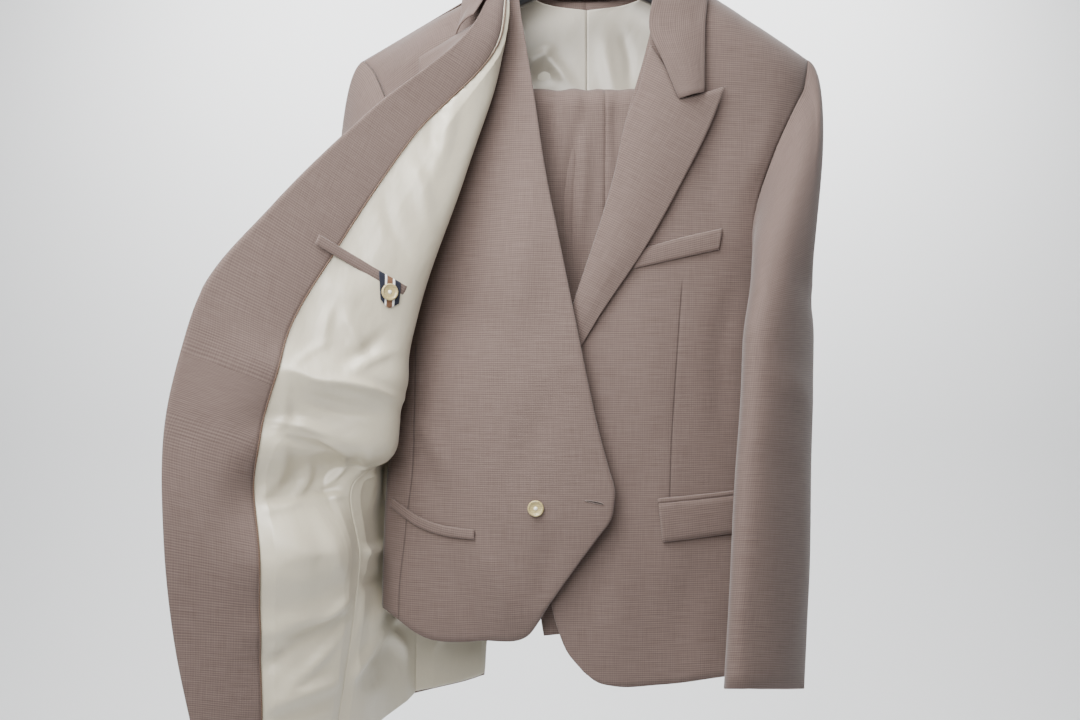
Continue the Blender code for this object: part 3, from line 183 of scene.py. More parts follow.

# The colour turns towards its darker copy across the fine ribs and where the soft wrinkles rise: painted
# shade.
wrinkle, given = group("wrinkle", {"Threads": "Vector", "Color": "Color", "Shade": "Color"})
soft = streaks(wrinkle, given["Threads"], 16.0, 9.0, 1.5)
fine = streaks(wrinkle, given["Threads"], 60.0, 34.0, 2.0)
ribs = streaks(wrinkle, given["Threads"], 1600.0, 120.0, 1.0)
height = reckon(wrinkle, "MULTIPLY_ADD", soft, 1.0, reckon(wrinkle, "MULTIPLY", fine, 0.16))
share = reckon(wrinkle, "MULTIPLY_ADD", ribs, 0.25, reckon(wrinkle, "MULTIPLY", soft, 0.35))
colour = blend(wrinkle, share, given["Color"], given["Shade"])
node(wrinkle, "NodeGroupOutput", {"Color": colour, "Height": height})


def satin(name, colour, depth):
    """Lining satin: a soft broad highlight, with wrinkles up to depth metres deep and painted shade along
    them, and its seams.
    """
    made, tree, shader = material(
        name, 0.42, Sheen_Weight=0.15, Sheen_Roughness=0.35, Specular_IOR_Level=0.9, Coat_Weight=0.15,
        Coat_Roughness=0.35,
    )
    shade = tuple(part * dim for part, dim in zip(colour, PAINTED_SHADE))
    wrinkles, seams = sewn(tree, shader, wrinkle, False, Color=(*colour, 1.0), Shade=(*shade, 1.0))
    small = bumped(tree, seams, 0.5, 0.0004)
    tree.links.new(bumped(tree, wrinkles, 1.0, depth, Normal=small), shader.inputs["Normal"])
    return made


CREAM_SATIN = Stuff(satin("cream_satin", CREAM, CREAM_WRINKLES), "cream_satin")
GREY_SATIN = Stuff(satin("grey_satin", GREY, GREY_WRINKLES), "grey_satin")

# --------------------------------------------------------------------------------------------------
# Jacket, left half: front, side panel and back in suit cloth, 1.5 mm thick with its interlining, hanging
# closed from the shoulder. A dart seam runs from the chest to the pocket.
# --------------------------------------------------------------------------------------------------
CM = 0.01
FINE = 7  # grid steps for each step of the solids
WALL, LINING_WALL = 0.0015, 0.0010
RIM = 0.42  # how far the rounded rim stands past a free edge, in walls
LOWER, UPPER, OVER = 8 * FINE, 4 * FINE, 3 * FINE  # rows up to the underarm, the armhole, the shoulder
JACKET_STEPS = (LOWER, UPPER, OVER)
NECK_X, NECK_Z, SHOULDER_FALL, SHOULDER_ARCH, SIDE_POWER = 8.5, -10.0, 0.614, 5.0, 3.2
SHOULDER_TIP = (22.5, -18.6)
UNDERARM_DIP = 2.2  # how far the side panel's top dips

Section = namedtuple("Section", "height half_width front back")
JACKET_SECTIONS = (
    Section(-90.0, 20.2, 6.0, 5.0),
    Section(-82.0, 20.0, 6.0, 5.0),
    Section(-66.0, 19.0, 6.0, 4.8),
    Section(-52.0, 18.6, 6.0, 4.8),
    Section(-42.0, 19.6, 6.0, 5.0),
    Section(-30.0, 21.6, 6.0, 5.0),
    Section(-18.0, 23.0, 5.6, 5.0),
    Section(-5.0, 23.6, 5.4, 5.0),
)
# A panel's outer face, its outward directions, and each point's place on the flat cloth in metres
Panel = namedtuple("Panel", "grid out threads")
# A crease runs from one end to the other; a trough has height < 0
Crease = namedtuple("Crease", "x0 z0 x1 z1 width height")


def curve(points, count):
    """count evenly spaced points on a smooth curve: a cubic between each two, sloped by their neighbours."""
    knots = np.array(points, float)
    at = np.concatenate([[0.0], np.cumsum(np.linalg.norm(np.diff(knots, axis=0), axis=1))])
    return hermite(knots, at, np.linspace(0.0, at[-1], count))


def hermite(knots, at, where):
    """The smooth curve through knots at the distances at, read at the distances where."""
    slope = np.gradient(knots, at, axis=0)
    k = np.clip(np.searchsorted(at, where, side="right") - 1, 0, len(at) - 2)
    span = (at[k + 1] - at[k])[:, None]
    a = (where - at[k])[:, None] / span
    return (
        (2 * a**3 - 3 * a**2 + 1) * knots[k]
        + (a**3 - 2 * a**2 + a) * span * slope[k]
        + (3 * a**2 - 2 * a**3) * knots[k + 1]
        + (a**3 - a**2) * span * slope[k + 1]
    )


def between(points, steps):
    """The same smooth curve with a set number of steps from each point to the next."""
    knots = np.array(points, float)
    at = np.concatenate([[0.0], np.cumsum(np.maximum(np.linalg.norm(np.diff(knots, axis=0), axis=1), 1e-6))])
    index = np.concatenate([[0.0]] + [k + np.linspace(0, 1, n + 1)[1:] for k, n in enumerate(steps)])
    return hermite(knots, at, np.interp(index, np.arange(len(at)), at))


def joined(*pieces):
    """Lines end to end, each starting where the last one ends."""
    return np.concatenate([pieces[0]] + [piece[1:] for piece in pieces[1:]])


def closing_in(start, end, count):
    """count points from start to end, closer together towards the end, as rows over a round shoulder are."""
    turn = np.linspace(0.0, np.pi / 2, count)
    way = np.sin(turn)[:, None]
    made = np.array(start, float) * (1 - way) + np.array(end, float) * way
    if made.shape[1] == 3:
        made[:, 1] = end[1] + (start[1] - end[1]) * np.cos(turn)
    return made


def panel_edge(steps, *parts):
    """A panel's edge, each part from where the last one ends and in its own number of steps: a smooth curve,
    or closing in where only one point follows another."""
    made, last = [], ()
    for count, part in zip(steps, parts):
        through = (*last, *part)
        made.append(curve(through, count + 1) if len(through) > 2 else closing_in(*through, count + 1))
        last = part[-1:]
    return joined(*made)


def patch(bottom, top, left, right):
    """A Coons patch: the sum of the blends between opposite edges, less the blend of the four corners."""
    v = np.linspace(0.0, 1.0, len(left))[:, None, None]
    u = np.linspace(0.0, 1.0, len(bottom))[None, :, None]
    foot = (1 - u) * (1 - v) * bottom[0] + u * (1 - v) * bottom[-1]
    corners = foot + (1 - u) * v * top[0] + u * v * top[-1]
    return (1 - v) * bottom[None] + v * top[None] + (1 - u) * left[:, None] + u * right[:, None] - corners


def section_of(table, column, height):
    """One column of a table of sections, read at any height on straight lines between its rows."""
    rows = sorted(table)
    return np.interp(height, [row.height for row in rows], [getattr(row, column) for row in rows])


def on_body(flat, table, side, drop=0.0, proud=0.0):
    """Puts (x, z) points on the front (side -1) or back (+1): depth times the squared oval's
    (1 - across^3.2)^(1/2), times a quarter ellipse that swells from the shoulder line down."""
    x, z = flat[..., 0], flat[..., 1]
    across = np.clip(np.abs(x) / section_of(table, "half_width", z), 0.0, 1.0)
    below = NECK_Z - drop - SHOULDER_FALL * (np.abs(x) - NECK_X) - z
    arch = np.sqrt(1 - (1 - np.clip(below / SHOULDER_ARCH, 0.0, 1.0)) ** 2)
    depth = section_of(table, "front" if side < 0 else "back", z)
    return np.stack([x, side * (depth * np.sqrt(1 - across**SIDE_POWER) * arch + proud), z], axis=-1)


def normals(grid, loop=False):
    """The outward direction at each point: along the row crossed with up the column."""
    along = np.roll(grid, -1, 1) - np.roll(grid, 1, 1) if loop else np.gradient(grid, axis=1)
    out = np.cross(along, np.gradient(grid, axis=0))
    return out / np.maximum(np.linalg.norm(out, axis=2, keepdims=True), 1e-12)


def run_along(grid, axis, parts=(0, 1, 2)):
    """Distance along the rows (axis 1) or columns (axis 0), counted in some of the coordinates only."""
    steps = np.linalg.norm(np.diff(grid[..., parts], axis=axis), axis=2)
    return np.concatenate([np.zeros_like(np.take(steps, [0], axis)), np.cumsum(steps, axis=axis)], axis=axis)


def hanging(grid):
    """A panel that hangs straight: its cross threads are level, and its others follow the body's round."""
    across = run_along(grid, 1, (0, 1)) + grid[:, :1, 0]
    return Panel(grid, normals(grid), np.stack([across, grid[..., 2]], axis=-1) * CM)


def along_cut(grid, loop=False):
    """A piece whose threads follow its own length and breadth, such as a sleeve, a collar or a band."""
    across, up = run_along(grid, 1), run_along(grid, 0)
    middle = grid.shape[1] // 2
    across = across - across[:, middle : middle + 1]
    threads = np.stack([across, 0 * across + up[:, middle : middle + 1]], axis=-1) * CM
    return Panel(grid, normals(grid, loop), threads)


def cut_at(grid, turn):
    """A flat piece whose threads run turn degrees off the upright, as seen from the front."""
    c, s = np.cos(np.radians(turn)), np.sin(np.radians(turn))
    x, z = grid[..., 0], grid[..., 2]
    return Panel(grid, normals(grid), np.stack([x * c - z * s, x * s + z * c], axis=-1) * CM)


def moved(piece, distance):
    """The same piece moved outward by a distance in centimetres."""
    return piece._replace(grid=piece.grid + piece.out * distance)


def part_of(piece, rows=slice(None), columns=slice(None)):
    """Some of a panel's rows and columns."""
    return Panel(*(field[rows, columns] for field in piece))


def turned(piece):
    """The same cloth seen from its other side."""
    return Panel(piece.grid[:, ::-1], -piece.out[:, ::-1], piece.threads[:, ::-1] * (-1, 1))


def share_edge(first, first_edge, second, second_edge):
    """At a seam both pieces face the same way, so that they round over it together."""
    mean = first.out[first_edge] + second.out[second_edge]
    mean /= np.linalg.norm(mean, axis=-1, keepdims=True)
    first.out[first_edge] = mean
    second.out[second_edge] = mean


def inset(piece, left=0.0, right=0.0, bottom=0.0, top=0.0):
    """The piece with its edges drawn in by these distances, in centimetres, as at a seam."""
    grid = piece.grid.copy()
    for edge, inner, distance in (
        ((slice(None), 0), (slice(None), 1), left),
        ((slice(None), -1), (slice(None), -2), right),
        ((0,), (1,), bottom),
        ((-1,), (-2,), top),
    ):
        way = grid[inner] - grid[edge]
        length = np.maximum(np.linalg.norm(way, axis=-1, keepdims=True), 1e-9)
        grid[edge] = grid[edge] + way / length * np.minimum(distance, 0.6 * length)
    return piece._replace(grid=grid)


def creased(piece, rows, only=1.0, lowest=-1.0):
    """Soft troughs and ridges. Each is a line seen from the front: its height times a bell across the line,
    exp(-(distance / width)^2), fading over its ends along a squared cosine. only weights the points, and no
    trough goes below lowest."""
    x, z = piece.grid[..., 0], piece.grid[..., 2]
    lift = 0 * x
    for row in rows:
        way = np.array((row.x1 - row.x0, row.z1 - row.z0))
        long = np.linalg.norm(way)
        way /= long
        along = ((x - row.x0) * way[0] + (z - row.z0) * way[1]) / long
        aside = (x - row.x0) * way[1] - (z - row.z0) * way[0]
        aside = aside + 0.06 * long * np.sin(np.pi * along) * np.sign(row.height)
        fade = np.cos(np.clip(along - 0.5, -0.75, 0.75) / 0.75 * np.pi / 2) ** 2
        lift += row.height * fade * np.exp(-((aside / row.width) ** 2))
    return moved(piece, (np.maximum(lift, lowest) * only)[..., None])


LONGEST_WAVE = 14.0


def uneven(piece, depth, seed):
    """Cloth is never quite even: a sum of eight long waves, each in a direction drawn by chance and shorter
    than the last, depth centimetres deep in all."""
    chance = np.random.default_rng(seed)
    x, z = piece.grid[..., 0], piece.grid[..., 2]
    lift = 0 * x
    for k in range(8):
        turn, phase = chance.uniform(0, np.pi), chance.uniform(0, 2 * np.pi)
        wave = LONGEST_WAVE / (1 + 0.35 * k)
        way = x * np.cos(turn) * 1.6 + z * np.sin(turn) * 0.7
        lift += np.sin(2 * np.pi * way / wave + phase) / (1 + 0.35 * k)
    return moved(piece, (depth * lift / 3)[..., None])


def finer(piece, down, along):
    """The piece on a finer grid: each of its steps cut in down rows and along columns, on smooth curves."""
    def cut(field, count):
        last = len(field) - 1
        where = np.linspace(0, last, last * count + 1)
        flat = hermite(field.reshape(last + 1, -1), np.arange(last + 1.0), where)
        return flat.reshape(-1, *field.shape[1:])

    grid, out, threads = (cut(cut(field, down).swapaxes(0, 1), along).swapaxes(0, 1) for field in piece)
    return Panel(grid, out / np.linalg.norm(out, axis=-1, keepdims=True), threads)


def gathered(piece, edge, height, spacing, reach, seed):
    """Small gathers beside the left or right edge: half waves along it of uneven spacing, which die away over
    reach as exp(-distance / reach) and leave the edge itself still."""
    chance = np.random.default_rng(seed)
    line = piece.grid[:, 0 if edge == "left" else -1]
    away = run_along(piece.grid if edge == "left" else piece.grid[:, ::-1], 1)
    away = away if edge == "left" else away[:, ::-1]
    along = run_along(line[:, None], 0)
    wander = sum(np.sin(along / (2.1 + k) + chance.uniform(0, 6)) for k in range(3)) * 0.9
    fuller = 0.75 + 0.25 * np.sin(along / 1.7 + chance.uniform(0, 6))
    puff = np.abs(np.sin(np.pi * along / spacing + wander)) * fuller
    return moved(piece, (height * puff * away / (away + 0.15) * np.exp(-away / reach))[..., None])


SEAM_POINTS = 120


def seam_line(piece, *lines):
    """For each point, its distance in metres to the nearest of some (x, z) lines, its sign changing at every
    line, and whether it lies beside that line or past its end: 1 or 0, with a short fade."""
    x, z = piece.grid[..., 0], piece.grid[..., 2]
    spot = np.stack([x, z], axis=-1)
    away, on = [], []
    for line in lines:
        fine = curve(line, SEAM_POINTS)
        step = np.gradient(fine, axis=0)
        step /= np.linalg.norm(step, axis=1, keepdims=True)
        gap = spot[:, :, None] - fine[None, None]
        k = np.argmin((gap**2).sum(-1), axis=-1)
        nearest = np.take_along_axis(gap, k[..., None, None], axis=2)[:, :, 0]
        side = nearest[..., 0] * step[k][..., 1] - nearest[..., 1] * step[k][..., 0]
        ahead = np.abs((nearest * step[k]).sum(-1))
        away.append(side)
        on.append(np.where((k > 0) & (k < SEAM_POINTS - 1), 1.0, np.clip(1 - ahead / 0.6, 0.0, 1.0)))
    away, on = np.array(away), np.array(on)
    size = 1 / np.sum(1 / np.maximum(np.abs(away), 1e-4), axis=0)
    closest = np.argmin(np.abs(away), axis=0)
    return size * np.prod(np.sign(away), axis=0) * CM, np.take_along_axis(on, closest[None], axis=0)[0]


def faces_between(rows, columns, loop=True):
    """A grid's four-cornered faces, anticlockwise from outside. A loop's last column meets its first."""
    i, j = np.meshgrid(np.arange(rows - 1), np.arange(columns if loop else columns - 1), indexing="ij")
    k = (j + 1) % columns
    corners = [i * columns + j, i * columns + k, (i + 1) * columns + k, (i + 1) * columns + j]
    return np.stack(corners, axis=-1).reshape(-1, 4)


def shaped(name, points, faces, finish, kind="", **places):
    """A smooth-shaded object from points in metres and faces, with the values in places at its points."""
    mesh = bpy.data.meshes.new(name)
    mesh.from_pydata(points.tolist(), [], faces)
    for label, values in places.items():
        form, key = ("FLOAT", "value") if values.ndim == 1 else ("FLOAT_VECTOR", "vector")
        mesh.attributes.new(label, form, "POINT").data.foreach_set(key, values.ravel())
    mesh.materials.append(finish)
    mesh.shade_smooth()
    made = bpy.data.objects.new(name + kind, mesh)
    bpy.context.scene.collection.objects.link(made)
    return made


def on_suit(made, solid=None):
    """The piece moves with the suit, and stands for a solid where there is one for it."""
    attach(made, "root")
    if solid:
        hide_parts(solid)


def cloth(name, piece, stuff, wall=WALL, loop=False, seams=(), sheet=True):
    """One piece of cloth: its outer face, the same face moved inwards by the wall, and a rounded rim round
    every free edge. It rides on the suit and stands for the solid of its name."""
    rows, columns = piece.grid.shape[:2]
    below = rows * columns
    outer = piece.grid * CM
    flat_outer, flat_inner = outer.reshape(-1, 3), (outer - piece.out * wall).reshape(-1, 3)
    cells = np.arange(below).reshape(rows, columns)
    if loop:
        rings = [cells[0], cells[-1, -np.arange(columns)]]
    else:
        rings = [np.concatenate([cells[0, :-1], cells[:-1, -1], cells[-1, :0:-1], cells[:0:-1, 0]])]
    skin = faces_between(rows, columns, loop)
    points, quads, sources = [flat_outer, flat_inner], [skin, skin[:, ::-1] + below], [np.arange(below)] * 2
    count = 2 * below
    for ring in rings:
        row, column = ring // columns, ring % columns
        inward = np.where(row == 0, 1, np.where(row == rows - 1, -1, 0)) * columns
        if not loop:
            inward = inward + np.where(column == 0, 1, np.where(column == columns - 1, -1, 0))
        away = flat_outer[ring] - flat_outer[ring + inward]
        away /= np.maximum(np.linalg.norm(away, axis=1, keepdims=True), 1e-9)
        points.append((flat_outer[ring] + flat_inner[ring]) / 2 + away * wall * RIM)
        rim = count + np.arange(len(ring))
        next_on_ring, next_on_rim = np.roll(ring, -1), np.roll(rim, -1)
        quads.append(np.stack([next_on_ring, ring, rim, next_on_rim], -1))
        quads.append(np.stack([next_on_rim, rim, ring + below, next_on_ring + below], -1))
        count += len(ring)
        sources.append(ring)
    source = np.concatenate(sources)
    away, on = seam_line(piece, *seams) if seams else (np.ones((rows, columns)), np.zeros((rows, columns)))
    threads = np.concatenate([piece.threads, np.zeros((rows, columns, 1))], axis=-1).reshape(-1, 3)[source]
    made = shaped(
        name, np.concatenate(points), np.concatenate(quads).tolist(), stuff.finish, "_cloth",
        threads=threads, seam=away.ravel()[source], sewn=on.ravel()[source],
    )
    on_suit(made, name)
    if sheet:
        closed = np.concatenate([outer, outer[:, :1]], axis=1) if loop else outer
        width, length = run_along(closed, 1)[:, -1].max(), run_along(closed, 0)[-1].max()


front_edge = panel_edge(
    JACKET_STEPS,
    (
        (-0.8, -79.7), (-2.3, -77.9), (-3.2, -75.7), (-3.9, -73.0), (-4.2, -62.0), (-4.1, -53.5),
        (-2.7, -48.2), (-1.8, -44.2),
    ),
    ((0.3, -37.9), (2.2, -31.6), (3.3, -26.5), (5.1, -20.3), (6.6, -14.2)),
    ((7.0, -12.4), (7.6, -11.0), (NECK_X, NECK_Z)),
)
front_seam = panel_edge(
    JACKET_STEPS,
    ((16.8, -80.2), (16.5, -66.0), (15.8, -52.0), (16.2, -42.0), (16.2, -39.0)),
    ((16.1, -36.5), (16.5, -33.7), (17.9, -29.6), (20.1, -24.9), (21.6, -22.2)),
    (SHOULDER_TIP,),
)
hem = curve(
    ((-0.8, -79.7), (0.5, -80.7), (2.2, -81.1), (6.5, -81.0), (12.0, -80.5), (16.8, -80.2)), 6 * FINE + 1
)
shoulder = np.linspace((NECK_X, NECK_Z), SHOULDER_TIP, 6 * FINE + 1)
left_front = hanging(on_body(patch(hem, shoulder, front_edge, front_seam), JACKET_SECTIONS, -1))

back_seam = panel_edge(
    JACKET_STEPS,
    ((17.2, -83.2), (16.9, -66.0), (16.4, -52.0), (17.0, -42.0), (17.2, -39.0)),
    ((17.3, -36.5), (17.7, -31.0), (19.7, -25.5), (21.5, -22.2)),
    (SHOULDER_TIP,),
)
centre_seam = panel_edge(
    JACKET_STEPS,
    ((0.0, -83.5), (0.0, -60.0), (0.0, -39.0)),
    ((0.0, -28.0), (0.0, -17.0)),
    ((0.0, -13.0), (0.0, -10.8)),
)
back_neck = curve(((NECK_X, NECK_Z), (6.2, -10.3), (3.0, -10.7), (0.0, -10.8)), 2 * FINE + 1)
back_top = joined(np.linspace(SHOULDER_TIP, (NECK_X, NECK_Z), 4 * FINE + 1), back_neck)
back_hem = curve(((17.2, -83.2), (8.0, -83.6), (0.0, -83.5)), 6 * FINE + 1)
back_flat = patch(back_hem, back_top, back_seam, centre_seam)
left_back = hanging(on_body(back_flat, JACKET_SECTIONS, 1))


def side_panel(front, back, dip, columns):
    """The panel under the arm, round the squared oval from the front's seam to the back's: across runs from
    -near to far, and x = half width times (1 - across^2)^(1/3.2). Its top dips by dip."""
    shares = [seam[:, 0] / section_of(JACKET_SECTIONS, "half_width", seam[:, 2]) for seam in (front, back)]
    near, far = [np.sqrt(np.maximum(1 - share**SIDE_POWER, 0)) for share in shares]
    t = np.linspace(0.0, 1.0, columns)[None, :]
    rise = (np.arange(len(front)) / (len(front) - 1))[:, None]
    around = -near[:, None] * (1 - t) + far[:, None] * t
    z = front[:, 2:] * (1 - t) + back[:, 2:] * t - dip * 4 * t * (1 - t) * rise**4
    x = section_of(JACKET_SECTIONS, "half_width", z) * (1 - around**2) ** (1 / SIDE_POWER)
    before, behind = [section_of(JACKET_SECTIONS, half, z) for half in ("front", "back")]
    deep = np.where(around < 0, before, behind)
    return np.stack([x, around * deep, z], axis=-1)


TO_UNDERARM = slice(0, LOWER + 1)
SHOULDER = slice(0, 4 * FINE + 1)  # the shoulder seam's columns on the back, from the arm to the neck
RIDGE = np.array((0.52, 0.0, 0.85))  # which way the left shoulder seam faces
before, behind = left_front.grid[TO_UNDERARM, -1], left_back.grid[TO_UNDERARM, 0]
left_side = hanging(side_panel(before, behind, UNDERARM_DIP, 5 * FINE + 1))
share_edge(left_front, (TO_UNDERARM, -1), left_side, (slice(None), 0))
share_edge(left_side, (slice(None), -1), left_back, (TO_UNDERARM, 0))
left_front.out[-1] = RIDGE
left_back.out[-1, SHOULDER] = RIDGE


def still_at_edges(piece, *edges):
    """1 inside a panel, falling evenly to 0 over 0.14 of it at each named edge, so that creases leave seams
    together."""
    rows, columns = piece.grid.shape[:2]
    u, v = np.linspace(0.0, 1.0, columns)[None, :], np.linspace(0.0, 1.0, rows)[:, None]
    ways = {"left": u, "right": 1 - u, "bottom": v, "top": 1 - v}
    weight = np.ones((rows, columns))
    for edge in edges:
        weight = weight * np.clip(ways[edge] / 0.14, 0.0, 1.0)
    return weight


FRONT_DART = ((8.8, -42.5), (8.5, -46.5), (8.3, -49.3), (8.0, -53.8), (7.8, -57.0), (7.6, -63.1))
LEFT_FRONT_CREASES = (
    Crease(13.5, -24.0, 12.0, -36.0, 1.8, -0.30),
    Crease(18.5, -24.5, 15.6, -33.0, 1.3, 0.34),
    Crease(14.2, -42.0, 13.2, -58.0, 1.6, -0.27),
    Crease(4.4, -43.0, 5.2, -58.0, 2.2, 0.23),
    Crease(1.2, -66.0, 2.6, -79.0, 2.0, 0.27),
    Crease(10.2, -68.5, 9.4, -79.5, 1.8, -0.25),
    Crease(13.6, -66.5, 14.6, -79.0, 1.5, 0.23),
    Crease(-2.0, -58.0, 1.0, -70.0, 1.7, -0.19),
)
LEFT_BACK_CREASES = (
    Crease(12.0, -22.0, 9.0, -38.0, 2.2, 0.56),
    Crease(15.0, -30.0, 13.0, -52.0, 1.8, -0.42),
    Crease(6.0, -50.0, 8.0, -80.0, 2.4, 0.56),
    Crease(3.0, -16.0, 10.0, -19.0, 1.6, -0.26),
)

weight = still_at_edges(left_front, "right", "top")
left_front = creased(uneven(left_front, 0.05, 3), LEFT_FRONT_CREASES, weight)
left_back = creased(left_back, LEFT_BACK_CREASES, still_at_edges(left_back, "left", "right", "top"))
cloth("jacket_left_front", inset(left_front, right=0.02, top=0.03), SUITING, seams=[FRONT_DART])
cloth("jacket_left_side", inset(left_side, left=0.02, right=0.02), SUITING)
cloth("jacket_back_left", inset(left_back, left=0.02, right=0.02, top=0.03), SUITING)

# --------------------------------------------------------------------------------------------------
# Left lapel: the front folded back at the roll line, faced and interlined, so that it swells off the chest.
# Its threads run with its outer edge, and its peak points up and out.
# --------------------------------------------------------------------------------------------------
LAPEL_PROUD = 0.28
LAPEL_SWELL = (0.0, 0.47, 0.57, 0.47, 0.32)  # from the roll line to the outer edge, where 5 cm wide or more
LAPEL_TURN = 29.0  # degrees between its threads and the front's
ROLL_STEPS = tuple(FINE * n for n in (2, 2, 2, 1, 1, 1))
roll = between(
    ((-3.9, -53.0), (-1.8, -44.2), (0.3, -37.9), (2.2, -31.6), (3.3, -26.5), (4.5, -23.3), (5.7, -18.9)),
    ROLL_STEPS,
)
lapel_edge = between(
    ((-3.0, -51.6), (0.3, -45.9), (5.6, -37.9), (8.9, -31.9), (11.4, -26.9), (13.0, -22.95)),
    tuple(FINE * n for n in (2, 2, 2, 2, 1)),
)
lapel_top = panel_edge(
    (2 * FINE, 2 * FINE),
    ((5.7, -18.9), (7.6, -22.3), (8.4, -24.4)),
    ((10.9, -23.7), (13.0, -22.95)),
)
lapel_foot = np.linspace((-3.9, -53.0), (-3.0, -51.6), 4 * FINE + 1)
width = np.minimum(1.0, np.hypot(*(lapel_edge - roll).T) / 5.0)[:, None]
swell = hermite(np.array(LAPEL_SWELL)[:, None], np.arange(5.0), np.linspace(0, 4, 4 * FINE + 1))
flat = patch(lapel_foot, lapel_top, roll, lapel_edge)
left_lapel = cut_at(on_body(flat, JACKET_SECTIONS, -1, proud=LAPEL_PROUD + width * swell.T), LAPEL_TURN)
cloth("left_lapel", uneven(left_lapel, 0.02, 5), SUITING)

# --------------------------------------------------------------------------------------------------
# Jacket, right half: the back hangs, and the front is swung open, so that beyond its fold the inside shows.
# It is bagged out with satin, and faced with suit cloth along the edge.
# --------------------------------------------------------------------------------------------------
Open = namedtuple("Open", "seam chest fold piping edge")
OPEN_ROWS = (
    Open(
        (-24.7, -8.4, -85.9), (-26.2, -9.8, -86.1), (-27.8, -11.0, -86.1),
        (-30.2, -12.4, -85.7), (-35.0, -15.0, -84.0),
    ),
    Open(
        (-22.9, -8.5, -73.9), (-24.7, -10.2, -74.6), (-26.8, -11.8, -74.8),
        (-30.0, -13.6, -74.6), (-36.6, -16.2, -73.6),
    ),
    Open(
        (-22.3, -8.6, -68.3), (-24.3, -10.6, -68.2), (-26.6, -12.6, -67.9),
        (-29.9, -14.6, -67.0), (-37.0, -17.4, -65.0),
    ),
    Open(
        (-22.7, -8.6, -60.8), (-24.4, -10.9, -59.8), (-26.4, -13.0, -58.6),
        (-29.6, -15.2, -56.6), (-36.6, -17.8, -53.8),
    ),
    Open(
        (-20.0, -6.9, -58.6), (-19.8, -7.6, -58.4), (-19.5, -8.3, -58.1),
        (-28.6, -14.8, -51.8), (-35.5, -17.6, -48.8),
    ),
    Open(
        (-20.7, -5.0, -49.5), (-19.5, -6.9, -51.2), (-18.7, -8.5, -51.9),
        (-27.4, -14.2, -47.1), (-34.0, -17.2, -43.9),
    ),
    Open(
        (-18.2, -3.5, -39.5), (-17.5, -5.8, -42.2), (-17.0, -8.5, -44.0),
        (-23.4, -12.5, -39.4), (-28.4, -15.0, -36.0),
    ),
    Open(
        (-17.2, -4.2, -31.5), (-14.8, -6.0, -31.8), (-12.9, -8.0, -32.0),
        (-17.1, -10.0, -29.1), (-20.4, -11.5, -26.7),
    ),
    Open(
        (-19.7, -3.5, -25.3), (-14.4, -5.4, -23.0), (-9.3, -6.0, -19.2),
        (-9.2, -6.6, -18.4), (-11.2, -7.5, -17.3),
    ),
    Open(
        (-21.2, -2.0, -21.6), (-16.0, -4.9, -18.6), (-8.8, -4.8, -14.9),
        (-8.8, -5.3, -14.6), (-9.9, -5.5, -13.9),
    ),
    Open(
        (-22.1, -1.1, -19.9), (-16.3, -3.2, -16.4), (-9.4, -3.0, -12.2),
        (-9.0, -3.2, -11.9), (-9.1, -3.3, -11.5),
    ),
    Open(
        (-23.2, 0.0, -18.7), (-16.6, 0.0, -14.8), (-10.4, 0.0, -11.2),
        (-9.6, -0.1, -10.6), (-8.7, -0.1, -10.1),
    ),
)
ROW_STEPS = tuple(FINE * n for n in (1, 1, 2, 1, 1, 2, 2, 2, 1, 1, 1))
COLUMN_STEPS = tuple(FINE * n for n in (2, 2, 3, 3))
FACING = COLUMN_STEPS[3]  # the facing's columns, counted from the front edge
WAIST, WAIST_FADE = -45.0, 12.0
Gape = namedtuple("Gape", "height aside")
VENT_GAPE = (Gape(-83.5, -11.0), Gape(-80.0, -10.8), Gape(-72.0, -9.0), Gape(-60.0, -2.0), Gape(-56.0, 0.0))


def woven_through(table, row_steps, column_steps):
    """A surface through a table of points: the smooth curve down each column, then along each row."""
    table = np.array(table, float)
    down = np.stack([between(table[:, k], row_steps) for k in range(table.shape[1])], axis=1)
    return np.stack([between(row, column_steps) for row in down])


def mirrored(grid):
    """The same surface for the wearer's other side, its columns turned round so that it still faces out."""
    return grid[:, ::-1] * np.array([-1.0, 1.0, 1.0])


right_front = along_cut(woven_through([list(row) for row in OPEN_ROWS], ROW_STEPS, COLUMN_STEPS))
# The right back spreads above the waist, draws in below it, hangs open at the vent and dips towards the side
grid = mirrored(on_body(back_flat, JACKET_SECTIONS, 1))
x, z = grid[..., 0], grid[..., 2]
below_waist = np.clip((WAIST - z) / WAIST_FADE, 0.0, 1.0)
above_waist = np.clip((z - WAIST) / WAIST_FADE, 0.0, 1.0)
to_side = np.linspace(0.0, 1.0, grid.shape[1])[None, :]
gape = np.interp(z[:, 0], *zip(*VENT_GAPE))[:, None] * np.linspace(1.0, 0.0, grid.shape[1])[None, :] ** 1.3
x += 0.03 * above_waist * x - 1.4 * below_waist * (x / 18.0) ** 2 + gape
z -= 1.7 * np.clip((-70.0 - z) / 13.5, 0.0, 1.0) * to_side**1.5
right_back = hanging(grid)

Under = namedtuple("Under", "back_third front_third")
UNDER_ROWS = (
    Under((-21.2, -1.6, -85.8), (-22.8, -5.6, -86.0)),
    Under((-21.4, -1.8, -75.2), (-22.2, -5.6, -74.6)),
    Under((-21.5, -1.8, -69.2), (-22.0, -5.6, -68.7)),
    Under((-21.3, -1.4, -60.2), (-21.8, -5.6, -60.4)),
    Under((-20.4, -0.6, -57.4), (-20.6, -4.2, -57.8)),
    Under((-20.6, 1.0, -49.8), (-21.2, -2.2, -49.8)),
    Under((-20.2, 1.4, -41.3), (-20.2, -1.4, -41.3)),
)
inner = [between([getattr(row, name) for row in UNDER_ROWS], ROW_STEPS[:6]) for name in Under._fields]
knots = np.stack([right_back.grid[TO_UNDERARM, -1], *inner, right_front.grid[TO_UNDERARM, 0]], axis=1)
right_side = hanging(np.stack([between(row, (2 * FINE, FINE, 2 * FINE)) for row in knots]))
